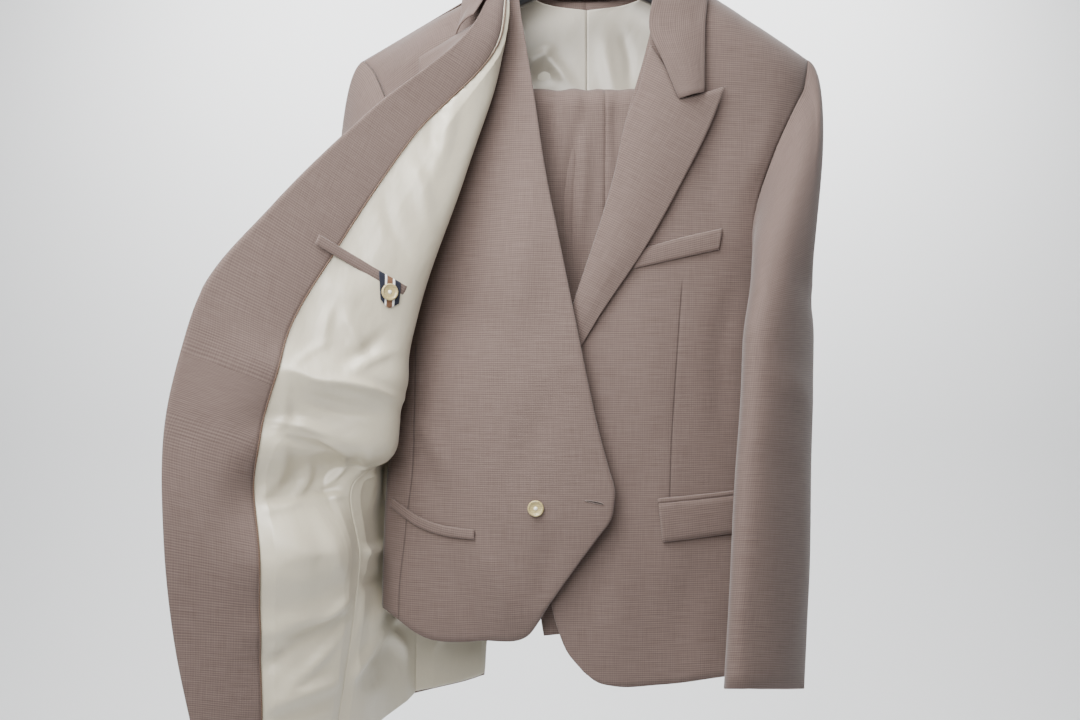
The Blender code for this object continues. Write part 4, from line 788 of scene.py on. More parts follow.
share_edge(right_back, (TO_UNDERARM, -1), right_side, (slice(None), 0))
share_edge(right_side, (slice(None), -1), right_front, (TO_UNDERARM, 0))
ridge = RIDGE * np.array((-1.0, 1.0, 1.0))
right_back.out[-1, -(4 * FINE + 1) :] = ridge
right_front.out[-1] = ridge

# Creases of the open front, which its lining shares: the inside shows, so one with height < 0 comes forward
OPEN_CREASES = (
    Crease(-30.5, -49.4, -17.6, -51.4, 1.8, -0.95),
    Crease(-31.0, -55.0, -19.0, -55.8, 1.5, 0.75),
    Crease(-31.5, -61.4, -21.0, -60.6, 2.7, 2.40),
    Crease(-31.5, -67.4, -21.5, -66.8, 2.6, -1.20),
    Crease(-31.0, -73.8, -22.0, -70.8, 1.2, -0.55),
    Crease(-31.0, -77.2, -22.8, -74.0, 1.2, 0.60),
    Crease(-30.0, -80.6, -23.5, -79.2, 1.4, -0.35),
)
RIGHT_BACK_CREASES = (
    Crease(-12.0, -22.0, -9.0, -38.0, 2.2, 0.53),
    Crease(-15.0, -34.0, -14.0, -56.0, 1.9, -0.43),
    Crease(-9.0, -52.0, -13.0, -80.0, 2.2, 0.61),
)
right_front = creased(right_front, OPEN_CREASES, still_at_edges(right_front, "left", "top"))
right_back = creased(right_back, RIGHT_BACK_CREASES, still_at_edges(right_back, "left", "right", "top"))
cloth("jacket_right_front", inset(right_front, left=0.05, top=0.03), SUITING)
cloth("jacket_right_side", inset(right_side, left=0.02, right=0.05), SUITING)
cloth("jacket_back_right", inset(right_back, left=0.02, right=0.02, top=0.03), SUITING)

# --------------------------------------------------------------------------------------------------
# Inside of the open half: a facing of suit cloth from the edge to the piping, and loose satin lining from
# there round to the vent, with a pleat of ease above the hem and creases of its own
# --------------------------------------------------------------------------------------------------
UNDER = (WALL + 0.0008) / CM  # how far the lining's back lies below the cloth's outer face
LINED = UNDER + LINING_WALL / CM
inside_front = turned(moved(right_front, -LINED))
inside_side = turned(moved(right_side, -LINED - 0.04))
inside_back = turned(moved(right_back, -LINED))
LINING_CREASES = (
    Crease(-29.4, -50.0, -24.0, -51.4, 0.45, 0.42),
    Crease(-25.0, -51.2, -18.2, -53.0, 0.40, 0.46),
    Crease(-27.6, -51.8, -18.8, -54.4, 0.80, -0.40),
    Crease(-27.3, -50.9, -24.1, -47.9, 0.32, 0.20),
    Crease(-24.3, -48.6, -23.5, -44.2, 0.40, 0.24),
    Crease(-25.6, -42.4, -21.6, -44.0, 1.00, 0.22),
    Crease(-22.6, -49.8, -19.0, -46.8, 0.60, -0.22),
    Crease(-22.0, -50.8, -18.4, -48.6, 0.50, 0.20),
    Crease(-27.5, -50.8, -28.0, -55.6, 0.45, 0.30),
    Crease(-26.6, -52.0, -26.8, -55.0, 0.40, -0.20),
    Crease(-28.4, -54.8, -23.2, -56.7, 0.42, 0.30),
    Crease(-28.0, -55.8, -24.0, -57.6, 0.50, -0.24),
    Crease(-25.0, -56.4, -22.6, -58.3, 0.28, 0.26),
    Crease(-22.4, -57.6, -25.4, -61.4, 0.40, 0.26),
    Crease(-20.6, -57.8, -24.0, -62.0, 0.45, 0.24),
    Crease(-26.2, -58.0, -27.4, -62.4, 0.50, 0.26),
    Crease(-27.6, -57.0, -29.4, -61.4, 0.60, 0.30),
    Crease(-29.8, -62.9, -22.6, -62.2, 0.45, 0.30),
    Crease(-29.8, -61.9, -22.6, -61.2, 0.45, -0.30),
    Crease(-28.6, -63.6, -25.0, -68.0, 1.20, 0.26),
    Crease(-25.2, -63.6, -23.0, -68.6, 0.70, 0.24),
    Crease(-22.6, -71.6, -26.0, -74.0, 0.45, 0.34),
    Crease(-25.6, -73.8, -30.0, -75.6, 0.50, 0.30),
    Crease(-22.8, -72.8, -29.6, -76.8, 0.60, -0.36),
    Crease(-22.6, -73.4, -28.4, -79.4, 0.45, 0.28),
    Crease(-29.8, -80.7, -23.4, -79.5, 0.50, 0.30),
    Crease(-29.8, -81.7, -23.4, -80.5, 0.60, -0.30),
    Crease(-13.4, -22.0, -15.6, -34.0, 0.80, 0.24),
    Crease(-15.8, -24.0, -14.2, -31.0, 0.60, -0.16),
    Crease(-17.6, -30.0, -15.2, -37.0, 0.70, 0.20),
    Crease(-19.4, -34.0, -17.0, -40.0, 0.60, -0.16),
    Crease(-22.8, -45.0, -21.0, -50.0, 0.60, 0.20),
)
SIDE_LINING_CREASES = (
    Crease(-21.6, -57.6, -21.4, -64.0, 0.40, 0.34),
    Crease(-20.6, -58.0, -20.0, -66.0, 0.32, -0.28),
    Crease(-19.9, -58.0, -19.4, -66.0, 0.35, 0.24),
    Crease(-23.0, -66.6, -18.8, -71.0, 0.42, 0.34),
    Crease(-22.6, -68.4, -19.6, -73.0, 0.40, -0.30),
    Crease(-21.2, -77.4, -20.6, -72.6, 0.45, 0.40),
    Crease(-20.8, -76.4, -23.2, -79.8, 0.50, 0.44),
    Crease(-21.2, -76.4, -18.9, -80.2, 0.50, 0.44),
    Crease(-21.0, -78.2, -21.2, -82.0, 0.80, -0.34),
    Crease(-21.0, -76.6, -17.6, -75.6, 0.45, 0.26),
    Crease(-22.6, -71.0, -24.0, -77.6, 0.35, -0.26),
    Crease(-22.0, -71.6, -23.2, -77.0, 0.35, 0.24),
)
BACK_LINING_CREASES = (
    Crease(-19.2, -71.6, -18.4, -77.2, 0.60, 0.34),
    Crease(-18.2, -76.6, -19.2, -80.4, 0.55, 0.34),
    Crease(-17.2, -73.6, -17.4, -80.0, 0.80, -0.34),
    Crease(-14.4, -75.2, -16.2, -80.0, 0.40, 0.34),
    Crease(-13.8, -75.0, -15.2, -79.2, 0.30, -0.26),
    Crease(-11.8, -75.4, -15.2, -79.0, 0.45, 0.34),
    Crease(-16.0, -60.0, -19.0, -74.0, 0.90, 0.30),
)
lining = part_of(inside_front, columns=slice(FACING, None))
facing = part_of(inside_front, columns=slice(0, FACING + 1))
lining = finer(lining, 3, 2)
loose = still_at_edges(lining, "left", "right", "top")
lining = creased(moved(lining, (0.46 * loose)[..., None]), LINING_CREASES, 1.6 * loose, -0.24)
pleats = 0.06 + 0.34 * np.exp(-(((lining.grid[..., 2] + 24.0) / 5.0) ** 2))
lining = gathered(gathered(lining, "left", pleats, 1.4, 0.9, 4), "right", 0.12, 0.9, 0.5, 5)
lining = inset(lining, left=0.03, right=0.03, bottom=1.0, top=0.06)
cloth("right_front_lining", lining, CREAM_SATIN, LINING_WALL)
cloth("right_facing", inset(uneven(facing, 0.015, 8), right=0.03, bottom=0.3, top=0.5), SUITING, LINING_WALL)
lining = finer(inside_side, 3, 2)
loose = still_at_edges(lining, "left", "right", "top")
lining = creased(moved(lining, (0.4 * loose)[..., None]), SIDE_LINING_CREASES, 1.4 * loose, -0.22)
lining = gathered(lining, "left", 0.08, 0.9, 0.6, 6)
cloth("right_side_lining", inset(lining, left=0.03, right=0.03, bottom=1.0), CREAM_SATIN, LINING_WALL)
lining = finer(part_of(inside_back, slice(0, -FINE)), 2, 2)
loose = still_at_edges(lining, "left", "right", "top")
lining = creased(moved(lining, (0.3 * loose)[..., None]), BACK_LINING_CREASES, loose, -0.25)
cloth("right_back_lining", inset(lining, left=0.03, right=0.12, bottom=0.3), CREAM_SATIN, LINING_WALL)

# --------------------------------------------------------------------------------------------------
# Piping: a silk-covered cord, 1.6 mm thick, sewn in where the facing meets the lining. Its cover is cut on
# the cross, so that it shows fine diagonal ribs.
# --------------------------------------------------------------------------------------------------
PIPING_RADIUS = 0.0008


def swept(name, path, radius, finish, solid=None, sides=12):
    """A round bar along a path in centimetres: a circle of radius metres about each point, on two directions
    square to the path, closed at its ends by a point. Its threads are the turn round it and the run along."""
    path = np.array(path, float) * CM
    tangent = np.gradient(path, axis=0)
    tangent /= np.linalg.norm(tangent, axis=1, keepdims=True)
    side = np.cross(tangent, (0.0, 1.0, 0.013))  # a little off level, so that it is never along the path
    side /= np.linalg.norm(side, axis=1, keepdims=True)
    up = np.cross(side, tangent)
    count, ends = len(path), len(path) * sides
    turn = np.linspace(0.0, 2 * np.pi, sides, endpoint=False)
    around = turn[None, :, None]
    rings = path[:, None] + radius * (np.cos(around) * side[:, None] + np.sin(around) * up[:, None])
    points = np.concatenate([rings.reshape(-1, 3), path[:1], path[-1:]])
    skin = faces_between(count, sides)[:, [0, 3, 2, 1]]
    ring, last = np.arange(sides), ends - sides
    caps = [(ends, a, b) for a, b in zip(ring, np.roll(ring, -1))]
    caps += [(ends + 1, last + b, last + a) for _, a, b in caps]
    run = np.concatenate([[0.0], np.cumsum(np.linalg.norm(np.diff(path, axis=0), axis=1))])
    places = np.stack([np.tile(turn, count), np.repeat(run, sides), np.zeros(ends)], axis=-1)
    faces = skin.tolist() + np.array(caps).tolist()
    made = shaped(name, points, faces, finish, threads=np.concatenate([places, np.zeros((2, 3))]))
    on_suit(made, solid)


def waves(tree, turn):
    """0 to 1 and back, once for every full turn: (1 + sin turn) / 2."""
    return reckon(tree, "MULTIPLY_ADD", reckon(tree, "SINE", turn), 0.5, 0.5)


def twisted(name, colour, shade, pitch):
    """A covered cord: fine diagonal ribs, from the turn round it plus the way along it over pitch metres. Its
    colour turns to the darker shade colour in the grooves between the ribs: painted shade.
    """
    made, tree, shader = material(name, 0.5, Sheen_Weight=0.3, Specular_IOR_Level=0.4)
    place_on = node(tree, "ShaderNodeSeparateXYZ", {0: attribute(tree, "threads", "Vector")})
    turn, run = place_on.outputs[:2]
    ribs = waves(tree, reckon(tree, "MULTIPLY_ADD", run, 2 * np.pi / pitch, turn))
    tree.links.new(blend(tree, ribs, shade, colour), shader.inputs["Base Color"])
    tree.links.new(bumped(tree, ribs, 0.6, 0.0003), shader.inputs["Normal"])
    return made


# The piping's darker colour is painted shade in the grooves of its ribs.
PIPING = twisted("piping", (0.13, 0.068, 0.036, 1.0), (0.055, 0.026, 0.014, 1.0), 0.0016)
DEEPER = LINED + PIPING_RADIUS / CM
line = moved(right_front, -DEEPER - 0.1).grid[:-FINE, -FACING - 1]
swept("piping_cord", line, PIPING_RADIUS, PIPING, "facing_piping")

# --------------------------------------------------------------------------------------------------
# Right lapel: faced and interlined like the left one. It is still folded back at the roll line, so that it
# hides behind the open front, all but its peak.
# --------------------------------------------------------------------------------------------------
BREAK, GORGE = 6 * FINE, 12 * FINE  # rows of the right front
Outer = namedtuple("Outer", "x y z")
LAPEL_OUTER = (
    Outer(-33.0, -16.0, -44.8),
    Outer(-25.0, -12.6, -38.6),
    Outer(-17.6, -8.6, -30.6),
    Outer(-16.6, -6.8, -25.2),
    Outer(-16.8, -5.7, -20.1),
)
fold_line = part_of(right_front, slice(BREAK, GORGE + 1), slice(-2, None))
beyond = fold_line.grid[:, 1] - fold_line.grid[:, 0]
beyond /= np.linalg.norm(beyond, axis=1, keepdims=True)
near = fold_line.grid[:, 1] + 0.35 * fold_line.out[:, 1] + 0.05 * beyond
far = between([list(row) for row in LAPEL_OUTER], tuple(FINE * n for n in (2, 2, 1, 1)))
across = np.linspace(0.0, 1.0, 3 * FINE + 1)[None, :, None]
cloth("right_lapel", along_cut(far[:, None] * (1 - across) + near[:, None] * across), SUITING)

# --------------------------------------------------------------------------------------------------
# Collar: suit cloth over an interlining. Its fall lies on the shoulders and the back, and its stand rises
# inside it from the neck seam.
# --------------------------------------------------------------------------------------------------
Station = namedtuple("Station", "outer roll seam")
COLLAR = (
    Station((10.85, -6.5, -23.6), (8.4, -6.75, -24.3), (8.0, -6.0, -23.2)),
    Station((10.9, -6.3, -20.5), (6.9, -6.75, -20.7), (6.7, -6.0, -20.0)),
    Station((11.0, -6.0, -17.0), (5.6, -6.45, -17.4), (6.1, -5.8, -16.2)),
    Station((11.4, -5.0, -13.8), (6.2, -6.5, -13.6), (6.8, -5.4, -12.6)),
    Station((11.6, -0.8, -11.0), (7.1, -3.4, -8.9), (7.8, -2.0, -9.4)),
    Station((9.8, 4.9, -12.6), (6.6, 2.2, -7.6), (6.9, 2.6, -9.6)),
    Station((5.4, 5.8, -12.7), (3.8, 4.9, -7.4), (3.8, 4.5, -10.4)),
    Station((0.0, 6.0, -12.6), (0.0, 5.6, -7.2), (0.0, 4.95, -10.65)),
    Station((-5.4, 5.8, -12.7), (-3.8, 4.9, -7.4), (-3.8, 4.5, -10.4)),
    Station((-10.0, 5.0, -12.6), (-6.8, 2.2, -7.6), (-7.1, 2.6, -9.6)),
    Station((-12.2, -0.9, -11.3), (-7.8, -3.0, -8.8), (-8.2, -1.9, -9.4)),
    Station((-12.6, -5.0, -14.0), (-8.8, -5.4, -10.6), (-8.6, -4.2, -10.8)),
    Station((-12.8, -6.3, -16.8), (-10.0, -6.3, -13.6), (-9.4, -5.6, -13.6)),
    Station((-13.2, -6.6, -18.3), (-11.4, -7.9, -16.6), (-10.6, -6.6, -16.0)),
)


def stations(rows, name):
    """The smooth curve through one point of each station."""
    return between([getattr(row, name) for row in rows], (FINE,) * (len(rows) - 1))


rise = np.linspace(0.0, 1.0, 3 * FINE + 1)[:, None, None]
fall = along_cut(stations(COLLAR, "outer") * (1 - rise) + stations(COLLAR, "roll") * rise)
cloth("collar_fall", moved(fall, 0.35 * np.sin(np.pi * rise)), SUITING)
neck = COLLAR[3:-3]
rise = np.linspace(0.0, 1.0, 2 * FINE + 1)[:, None, None]
stand = along_cut(stations(neck, "seam") * (1 - rise) + stations(neck, "roll") * rise)
cloth("collar_stand", moved(inset(stand, top=0.2), -0.25), SUITING)

# --------------------------------------------------------------------------------------------------
# Sleeves: each a top and an under half, set into the armhole and hanging as a flattened tube, a little
# forward. They are two-piece sleeves, eased at the head, with soft breaks at the elbow.
# --------------------------------------------------------------------------------------------------
Ring = namedtuple("Ring", "height x y half_length half_width turn tilt")  # tilt is its rise per cm backwards
LEFT_RINGS = (
    Ring(-48.0, 17.95, -7.1, 7.4, 2.6, 31.0, 0.0),
    Ring(-54.0, 17.65, -7.6, 7.2, 2.6, 32.5, -0.08),
    Ring(-60.0, 17.2, -8.1, 7.0, 2.6, 34.5, -0.16),
    Ring(-70.5, 16.7, -8.7, 6.7, 2.5, 38.0, -0.26),
    Ring(-80.3, 16.15, -9.0, 6.4, 2.4, 41.0, -0.34),
)
RIGHT_RINGS = (
    Ring(-47.0, 24.1, 0.2, 7.0, 2.4, 3.0, 0.0),
    Ring(-54.0, 24.8, 0.6, 6.9, 2.3, 2.0, 0.0),
    Ring(-60.0, 25.3, 0.9, 6.8, 2.2, 2.0, 0.0),
    Ring(-71.0, 25.8, 0.8, 6.5, 2.1, 2.0, 0.0),
    Ring(-81.7, 26.4, 0.4, 6.2, 2.0, 2.0, 0.0),
)
BACK_SEAM = 13 * FINE  # where on the armhole the top and under halves meet behind; before, they meet at 0
HEAD_ROWS = 5 * FINE
CORNER_ROUNDING = 0.3  # how far the armhole's corner under the arm moves to the middle of its neighbours


def sleeve(armhole, rings, lead):
    """A tube from the armhole's loop of points down to the cuff. From the armhole it is a cubic in the way
    down, which leaves outwards and arrives along the first ring's walls. The rings are ovals: centre plus
    half_width times cos(angle) outwards plus half_length times sin(angle) backwards. lead turns the underarm
    to the back."""
    index = np.arange(len(armhole)) / FINE
    corner = BACK_SEAM / FINE
    rounding = CORNER_ROUNDING * np.clip(np.minimum(index - corner + 1, corner + 2 - index), 0, 1)[:, None]
    beside = (np.roll(armhole, FINE, axis=0) + np.roll(armhole, -FINE, axis=0)) / 2
    armhole = armhole + rounding * (beside - armhole) + np.array((0.06, 0.0, 0.0))
    closed = np.concatenate([armhole, armhole[:1]])
    run = np.concatenate([[0.0], np.cumsum(np.linalg.norm(np.diff(closed, axis=0), axis=1))])
    top = run[int(np.argmax(armhole[:, 2]))]
    angle = 2 * np.pi * (run[:-1] - top) / run[-1]
    angle = angle * np.where(angle < 0, 1 + lead / 180, 1 - lead / 180)
    ovals = []
    for ring in rings:
        turn = np.radians(ring.turn)
        back = np.array((np.sin(turn), np.cos(turn), 0.0))
        out = np.array((np.cos(turn), -np.sin(turn), 0.0))
        wide, long = ring.half_width * np.cos(angle), ring.half_length * np.sin(angle)
        oval = wide[:, None] * out + long[:, None] * back
        oval[:, 2] = ring.tilt * oval[:, 1]
        ovals.append(np.array((ring.x, ring.y, ring.height)) + oval)
    above = (1 + np.cos(angle)) / 2
    outward = 0.85 * above + (0.75 * (1 + np.sin(angle)) / 2 - 0.1) * (1 - above)
    leave = np.stack([outward, 0.16 * armhole[:, 1], -0.4 - 0.2 * (1 - above)], axis=1)
    leave /= np.linalg.norm(leave, axis=1, keepdims=True)
    arrive = ovals[1] - ovals[0]
    arrive /= np.linalg.norm(arrive, axis=1, keepdims=True)
    span = np.linalg.norm(ovals[0] - armhole, axis=1, keepdims=True)
    head = []
    for a in np.linspace(0.0, 1.0, HEAD_ROWS + 1) ** 1.3:
        head.append(
            (2 * a**3 - 3 * a**2 + 1) * armhole
            + (a**3 - 2 * a**2 + a) * (0.55 - 0.2 * above)[:, None] * span * leave
            + (3 * a**2 - 2 * a**3) * ovals[0]
            + (a**3 - a**2) * 0.8 * span * arrive
        )
    down = np.array(ovals).transpose(1, 0, 2)
    arm = np.stack([between(line, (FINE,) * (len(rings) - 1)) for line in down], axis=1)
    return along_cut(np.concatenate([np.array(head), arm[1:]])[::-1], loop=True)


def halves(tube):
    """The top half runs round the outside between the two seams, and the under half round the inside."""
    loop = np.arange(tube.grid.shape[1])
    return part_of(tube, columns=loop[: BACK_SEAM + 1]), part_of(tube, columns=np.append(loop[BACK_SEAM:], 0))


armhole = np.concatenate(
    [left_front.grid[LOWER:, -1], left_back.grid[LOWER:-1, 0][::-1], left_side.grid[-1, 1:-1][::-1]]
)
left_sleeve = sleeve(armhole, LEFT_RINGS, 50.0)
armhole = np.concatenate(
    [right_front.grid[LOWER:, 0], right_back.grid[LOWER:-1, -1][::-1], right_side.grid[-1, 1:-1]]
) * np.array((-1.0, 1.0, 1.0))
right_sleeve = sleeve(armhole, RIGHT_RINGS, 0.0)
# Just below its armhole the left sleeve lies against the jacket
x, z = left_sleeve.grid[..., 0], left_sleeve.grid[..., 2]
x -= 0.4 * np.exp(-(((z + 38.6) / 3.5) ** 2) - ((x - 15.9) / 1.2) ** 2)
LEFT_SLEEVE_CREASES = (
    Crease(22.8, -24.0, 20.6, -40.0, 1.3, 0.22),
    Crease(24.6, -27.0, 23.4, -46.0, 1.2, -0.20),
    Crease(18.0, -40.0, 24.0, -45.5, 1.1, -0.18),
    Crease(15.4, -50.5, 21.0, -54.0, 1.3, 0.20),
    Crease(14.2, -57.0, 19.0, -60.5, 1.2, -0.16),
    Crease(19.6, -58.0, 17.4, -78.0, 1.6, 0.20),
    Crease(14.8, -66.0, 15.0, -80.0, 1.2, -0.14),
)
RIGHT_SLEEVE_CREASES = (
    Crease(23.4, -26.0, 25.4, -46.0, 1.0, -0.20),
    Crease(22.8, -50.0, 27.0, -55.0, 1.2, 0.22),
    Crease(24.6, -60.0, 26.2, -78.0, 1.2, -0.16),
)
for side, tube, creases in (
    ("left", left_sleeve, LEFT_SLEEVE_CREASES),
    ("right", right_sleeve, RIGHT_SLEEVE_CREASES),
):
    for half, piece in zip(("top_sleeve", "under_sleeve"), halves(tube)):
        weight = still_at_edges(piece, "left", "right", "top")
        piece = creased(uneven(piece, 0.03, 11), creases, weight)
        if side == "right":
            piece = Panel(mirrored(piece.grid), mirrored(piece.out), piece.threads[:, ::-1] * (-1, 1))
        cloth(f"{side}_{half}", inset(piece, left=0.01, right=0.01), SUITING)

# --------------------------------------------------------------------------------------------------
# Jacket pockets: a breast welt, and a hip flap under a jetting on each side. They are cut from suit cloth and
# lie on the fronts, and the hip pockets reach round onto the side panels.
# --------------------------------------------------------------------------------------------------
CLEAR = 0.06  # how far a piece's inner face stands off the cloth that it lies on
PROUD = WALL / CM + CLEAR


def at(grid, row, column):
    """The point of a grid at fractional rows and columns."""
    i = np.clip(np.floor(row).astype(int), 0, grid.shape[0] - 2)
    j = np.clip(np.floor(column).astype(int), 0, grid.shape[1] - 2)
    v, u = (row - i)[..., None], (column - j)[..., None]
    near = grid[i, j] * (1 - u) + grid[i, j + 1] * u
    return near * (1 - v) + (grid[i + 1, j] * (1 - u) + grid[i + 1, j + 1] * u) * v


def place(grid, x, z):
    """The fractional (row, column) of the point seen from the front at (x, z): the nearest grid point, then
    Newton's steps on the two coordinates."""
    nearest = np.argmin((grid[..., 0] - x) ** 2 + (grid[..., 2] - z) ** 2)
    spot = np.array(np.unravel_index(nearest, grid.shape[:2]), float)
    last = np.array(grid.shape[:2]) - 1.0
    for _ in range(5):
        here = at(grid, *spot)
        up = at(grid, spot[0] + 0.3, spot[1]) - at(grid, spot[0] - 0.3, spot[1])
        on = at(grid, spot[0], spot[1] + 0.3) - at(grid, spot[0], spot[1] - 0.3)
        slopes = np.array([[up[0], on[0]], [up[2], on[2]]]) / 0.6
        spot = np.clip(spot + np.linalg.solve(slopes, (x - here[0], z - here[2])), 0.0, last)
    return spot


def laid(on, rows, columns, proud):
    """A piece that lies on a panel at fractional rows and columns, moved out by proud, one value or many."""
    grid = at(on.grid, rows, columns)
    out = at(on.out, rows, columns)
    out /= np.linalg.norm(out, axis=-1, keepdims=True)
    return grid + out * np.broadcast_to(proud, rows.shape)[..., None]


def strip_on(on, lower, upper, proud, rows=8, columns=48):
    """A narrow piece on a panel, between two smooth lines of (x, z) places, a little fuller in its middle."""
    low, high = curve(lower, columns), curve(upper, columns)
    up = np.linspace(0.0, 1.0, rows)[:, None, None]
    spots = low[None] * (1 - up) + high[None] * up
    found = np.array([[place(on.grid, x, z) for x, z in row] for row in spots])
    full = proud + 0.05 * np.sin(np.pi * up[..., 0]) + 0 * spots[..., 0]
    return along_cut(laid(on, found[..., 0], found[..., 1], full))


def side_by_side(*pieces):
    """Panels that meet at their side edges, as one."""
    return Panel(*(np.concatenate(fields, axis=1) for fields in zip(*pieces)))


welt = strip_on(
    left_front,
    ((4.1, -40.6), (8.5, -39.6), (12.4, -38.7)),
    ((4.1, -39.0), (8.6, -37.7), (12.7, -36.7)),
    PROUD + 0.02,
)
cloth("breast_welt", welt, SUITING, sheet=False)
SIDE_COLUMNS = 3 * FINE  # how much of the side panel goes with the front under a hip pocket
beside = part_of(left_side, columns=slice(1, SIDE_COLUMNS + 1))
round_left = side_by_side(part_of(left_front, TO_UNDERARM), beside)
POCKET_END = 18.0
for name, low_left, low_right, high_left, high_right, proud, sheet in (
    ("left_flap", (6.9, -67.1), (POCKET_END, -66.0), (6.5, -63.42), (POCKET_END, -62.5), 0.08, True),
    ("left_jet", (6.45, -63.36), (POCKET_END, -62.44), (6.45, -62.92), (POCKET_END, -62.0), 0.04, False),
):
    piece = strip_on(round_left, (low_left, low_right), (high_left, high_right), PROUD + proud)
    cloth(name, piece, SUITING, sheet=sheet)
beside = part_of(right_side, columns=slice(-SIDE_COLUMNS, -1))
round_right = side_by_side(beside, part_of(right_front, TO_UNDERARM))
steps_across = np.linspace(1.5, 7.5, 60)
for name, low, high in (("right_flap", 2.75, 3.62), ("right_jet", 3.64, 3.80)):
    rows, columns = np.meshgrid(np.linspace(low, high, 12) * FINE, steps_across * FINE, indexing="ij")
    cloth(name, along_cut(laid(round_right, rows, columns, PROUD + 0.1)), SUITING, sheet=False)

# --------------------------------------------------------------------------------------------------
# Buttons: turned horn with a rolled rim, a dished face and a small bright stud in the middle, sewn on a
# shank. The jacket's are 2 cm across, and the waistcoat's and the inside pocket's about 1.6 cm.
# --------------------------------------------------------------------------------------------------
Turned = namedtuple("Turned", "radius height")  # shares of the button's radius and thickness
BUTTON_PROFILE = (
    Turned(0.00, 0.00),
    Turned(0.80, 0.00),
    Turned(0.95, 0.15),
    Turned(1.00, 0.50),
    Turned(0.97, 0.80),
    Turned(0.88, 1.00),
    Turned(0.78, 0.94),
    Turned(0.68, 0.66),
    Turned(0.45, 0.56),
    Turned(0.20, 0.54),
    Turned(0.19, 0.70),
    Turned(0.13, 0.86),
    Turned(0.00, 0.92),
)


def horn():
    """Pale olive-gold horn: clouded streaks in the turning, a paler stud within a fifth of the radius."""
    made, tree, shader = material("horn", 0.28, Coat_Weight=0.5, Coat_Roughness=0.12, Specular_IOR_Level=0.5)
    threads = attribute(tree, "threads", "Vector")
    cloud = node(tree, "ShaderNodeTexNoise", {"Vector": threads, "Scale": 260.0, "Detail": 3.0})
    wavy = {"Vector": threads, "Scale": 160.0, "Distortion": 3.0}
    rings = node(tree, "ShaderNodeTexWave", wavy, wave_type="RINGS")
    share = reckon(tree, "MULTIPLY_ADD", rings.outputs[1], 0.3, cloud.outputs[0])
    body = blend(tree, share, (0.27, 0.20, 0.075, 1.0), (0.52, 0.43, 0.21, 1.0))
    stud = attribute(tree, "stud", "Fac")
    tree.links.new(blend(tree, stud, body, (0.90, 0.87, 0.74, 1.0)), shader.inputs["Base Color"])
    return made


HORN = horn()


def button(name, on, spot, lift, radius, thickness, sides=48):
    """The profile turned about the way that a panel faces at one spot, seated lift centimetres off it:
    radius r at height h for each of its rows."""
    facing = at(on.out, *spot)
    out = facing / np.linalg.norm(facing)
    side = np.cross(out, (0.0, 0.0, 1.0))
    side /= np.linalg.norm(side)
    up = np.cross(side, out)
    turn = np.linspace(0.0, 2 * np.pi, sides, endpoint=False)[None, :, None]
    shape = between([(row.radius, row.height) for row in BUTTON_PROFILE], (3,) * (len(BUTTON_PROFILE) - 1))
    reach, height = np.maximum(shape[:, :1, None], 0.001) * radius, shape[:, 1:, None] * thickness
    across, upright = reach * np.cos(turn), reach * np.sin(turn)
    centre = at(on.grid, *spot) + facing * lift
    points = (centre + (0.03 + height) * out + across * -side + upright * up).reshape(-1, 3) * CM
    threads = np.concatenate([across, upright, 0 * across], axis=-1).reshape(-1, 3) * CM
    past_dish = np.arange(len(shape))[:, None, None] > 12
    stud = ((reach / radius < 0.205) & past_dish & (turn > -1)).ravel().astype(float)
    faces = faces_between(len(shape), sides).tolist()
    on_suit(shaped(name, points, faces, HORN, "_horn", threads=threads, stud=stud), name)


for name, row in (("jacket_button_top", 5.6), ("jacket_button_low", 3.4)):
    button(name, right_front, (np.array(row * FINE), np.array(9.2 * FINE)), 0.05, 1.0, 0.38)

# --------------------------------------------------------------------------------------------------
# Inside pocket: a welt of suit cloth over the facing and the lining, its mouth along its upper edge, and a
# striped ribbon tab that comes out of the mouth and buttons over it
# --------------------------------------------------------------------------------------------------
inside = turned(moved(part_of(right_front, columns=slice(4 * FINE, None)), -DEEPER - 0.26))
welt = strip_on(
    inside,
    ((-24.9, -39.2), (-22.6, -40.6), (-20.2, -42.0), (-17.7, -43.5)),
    ((-24.6, -38.4), (-22.3, -39.8), (-19.9, -41.2), (-17.3, -42.7)),
    0.12,
)
cloth("inside_pocket_welt", welt, SUITING, sheet=False)


BROWN_END, WHITE_END = 0.0030, 0.0052  # from the ribbon's middle to where its brown and its white end
RIBBON_RIBS = 0.0008  # from one rib to the next


def striped():
    """Ribbon: stripes across its width, navy, white, brown, white and navy, with fine ribs."""
    made, tree, shader = material("striped_ribbon", 0.55, Sheen_Weight=0.2, Specular_IOR_Level=0.35)
    split = node(tree, "ShaderNodeSeparateXYZ", {0: attribute(tree, "threads", "Vector")})
    aside = reckon(tree, "ABSOLUTE", split.outputs[0])
    brown, navy, white = (0.15, 0.07, 0.035, 1.0), (0.006, 0.008, 0.02, 1.0), (0.80, 0.79, 0.76, 1.0)
    past_brown, past_white = [reckon(tree, "GREATER_THAN", aside, end) for end in (BROWN_END, WHITE_END)]
    colour = blend(tree, past_white, blend(tree, past_brown, brown, white), navy)
    tree.links.new(colour, shader.inputs["Base Color"])
    ribs = waves(tree, reckon(tree, "MULTIPLY", split.outputs[1], 2 * np.pi / RIBBON_RIBS))
    tree.links.new(bumped(tree, ribs, 0.4, 0.0002), shader.inputs["Normal"])
    return made


RIBBON = Stuff(striped(), "striped_ribbon")
tab = strip_on(
    inside,
    ((-19.6, -44.0), (-18.9, -44.7), (-18.1, -44.3)),
    ((-19.7, -41.4), (-18.8, -41.9), (-17.9, -42.4)),
    0.32,
)
cloth("inside_pocket_tab", tab, RIBBON, LINING_WALL, sheet=False)
button("inside_pocket_button", inside, place(inside.grid, -18.9, -43.3), 0.42, 0.78, 0.3)

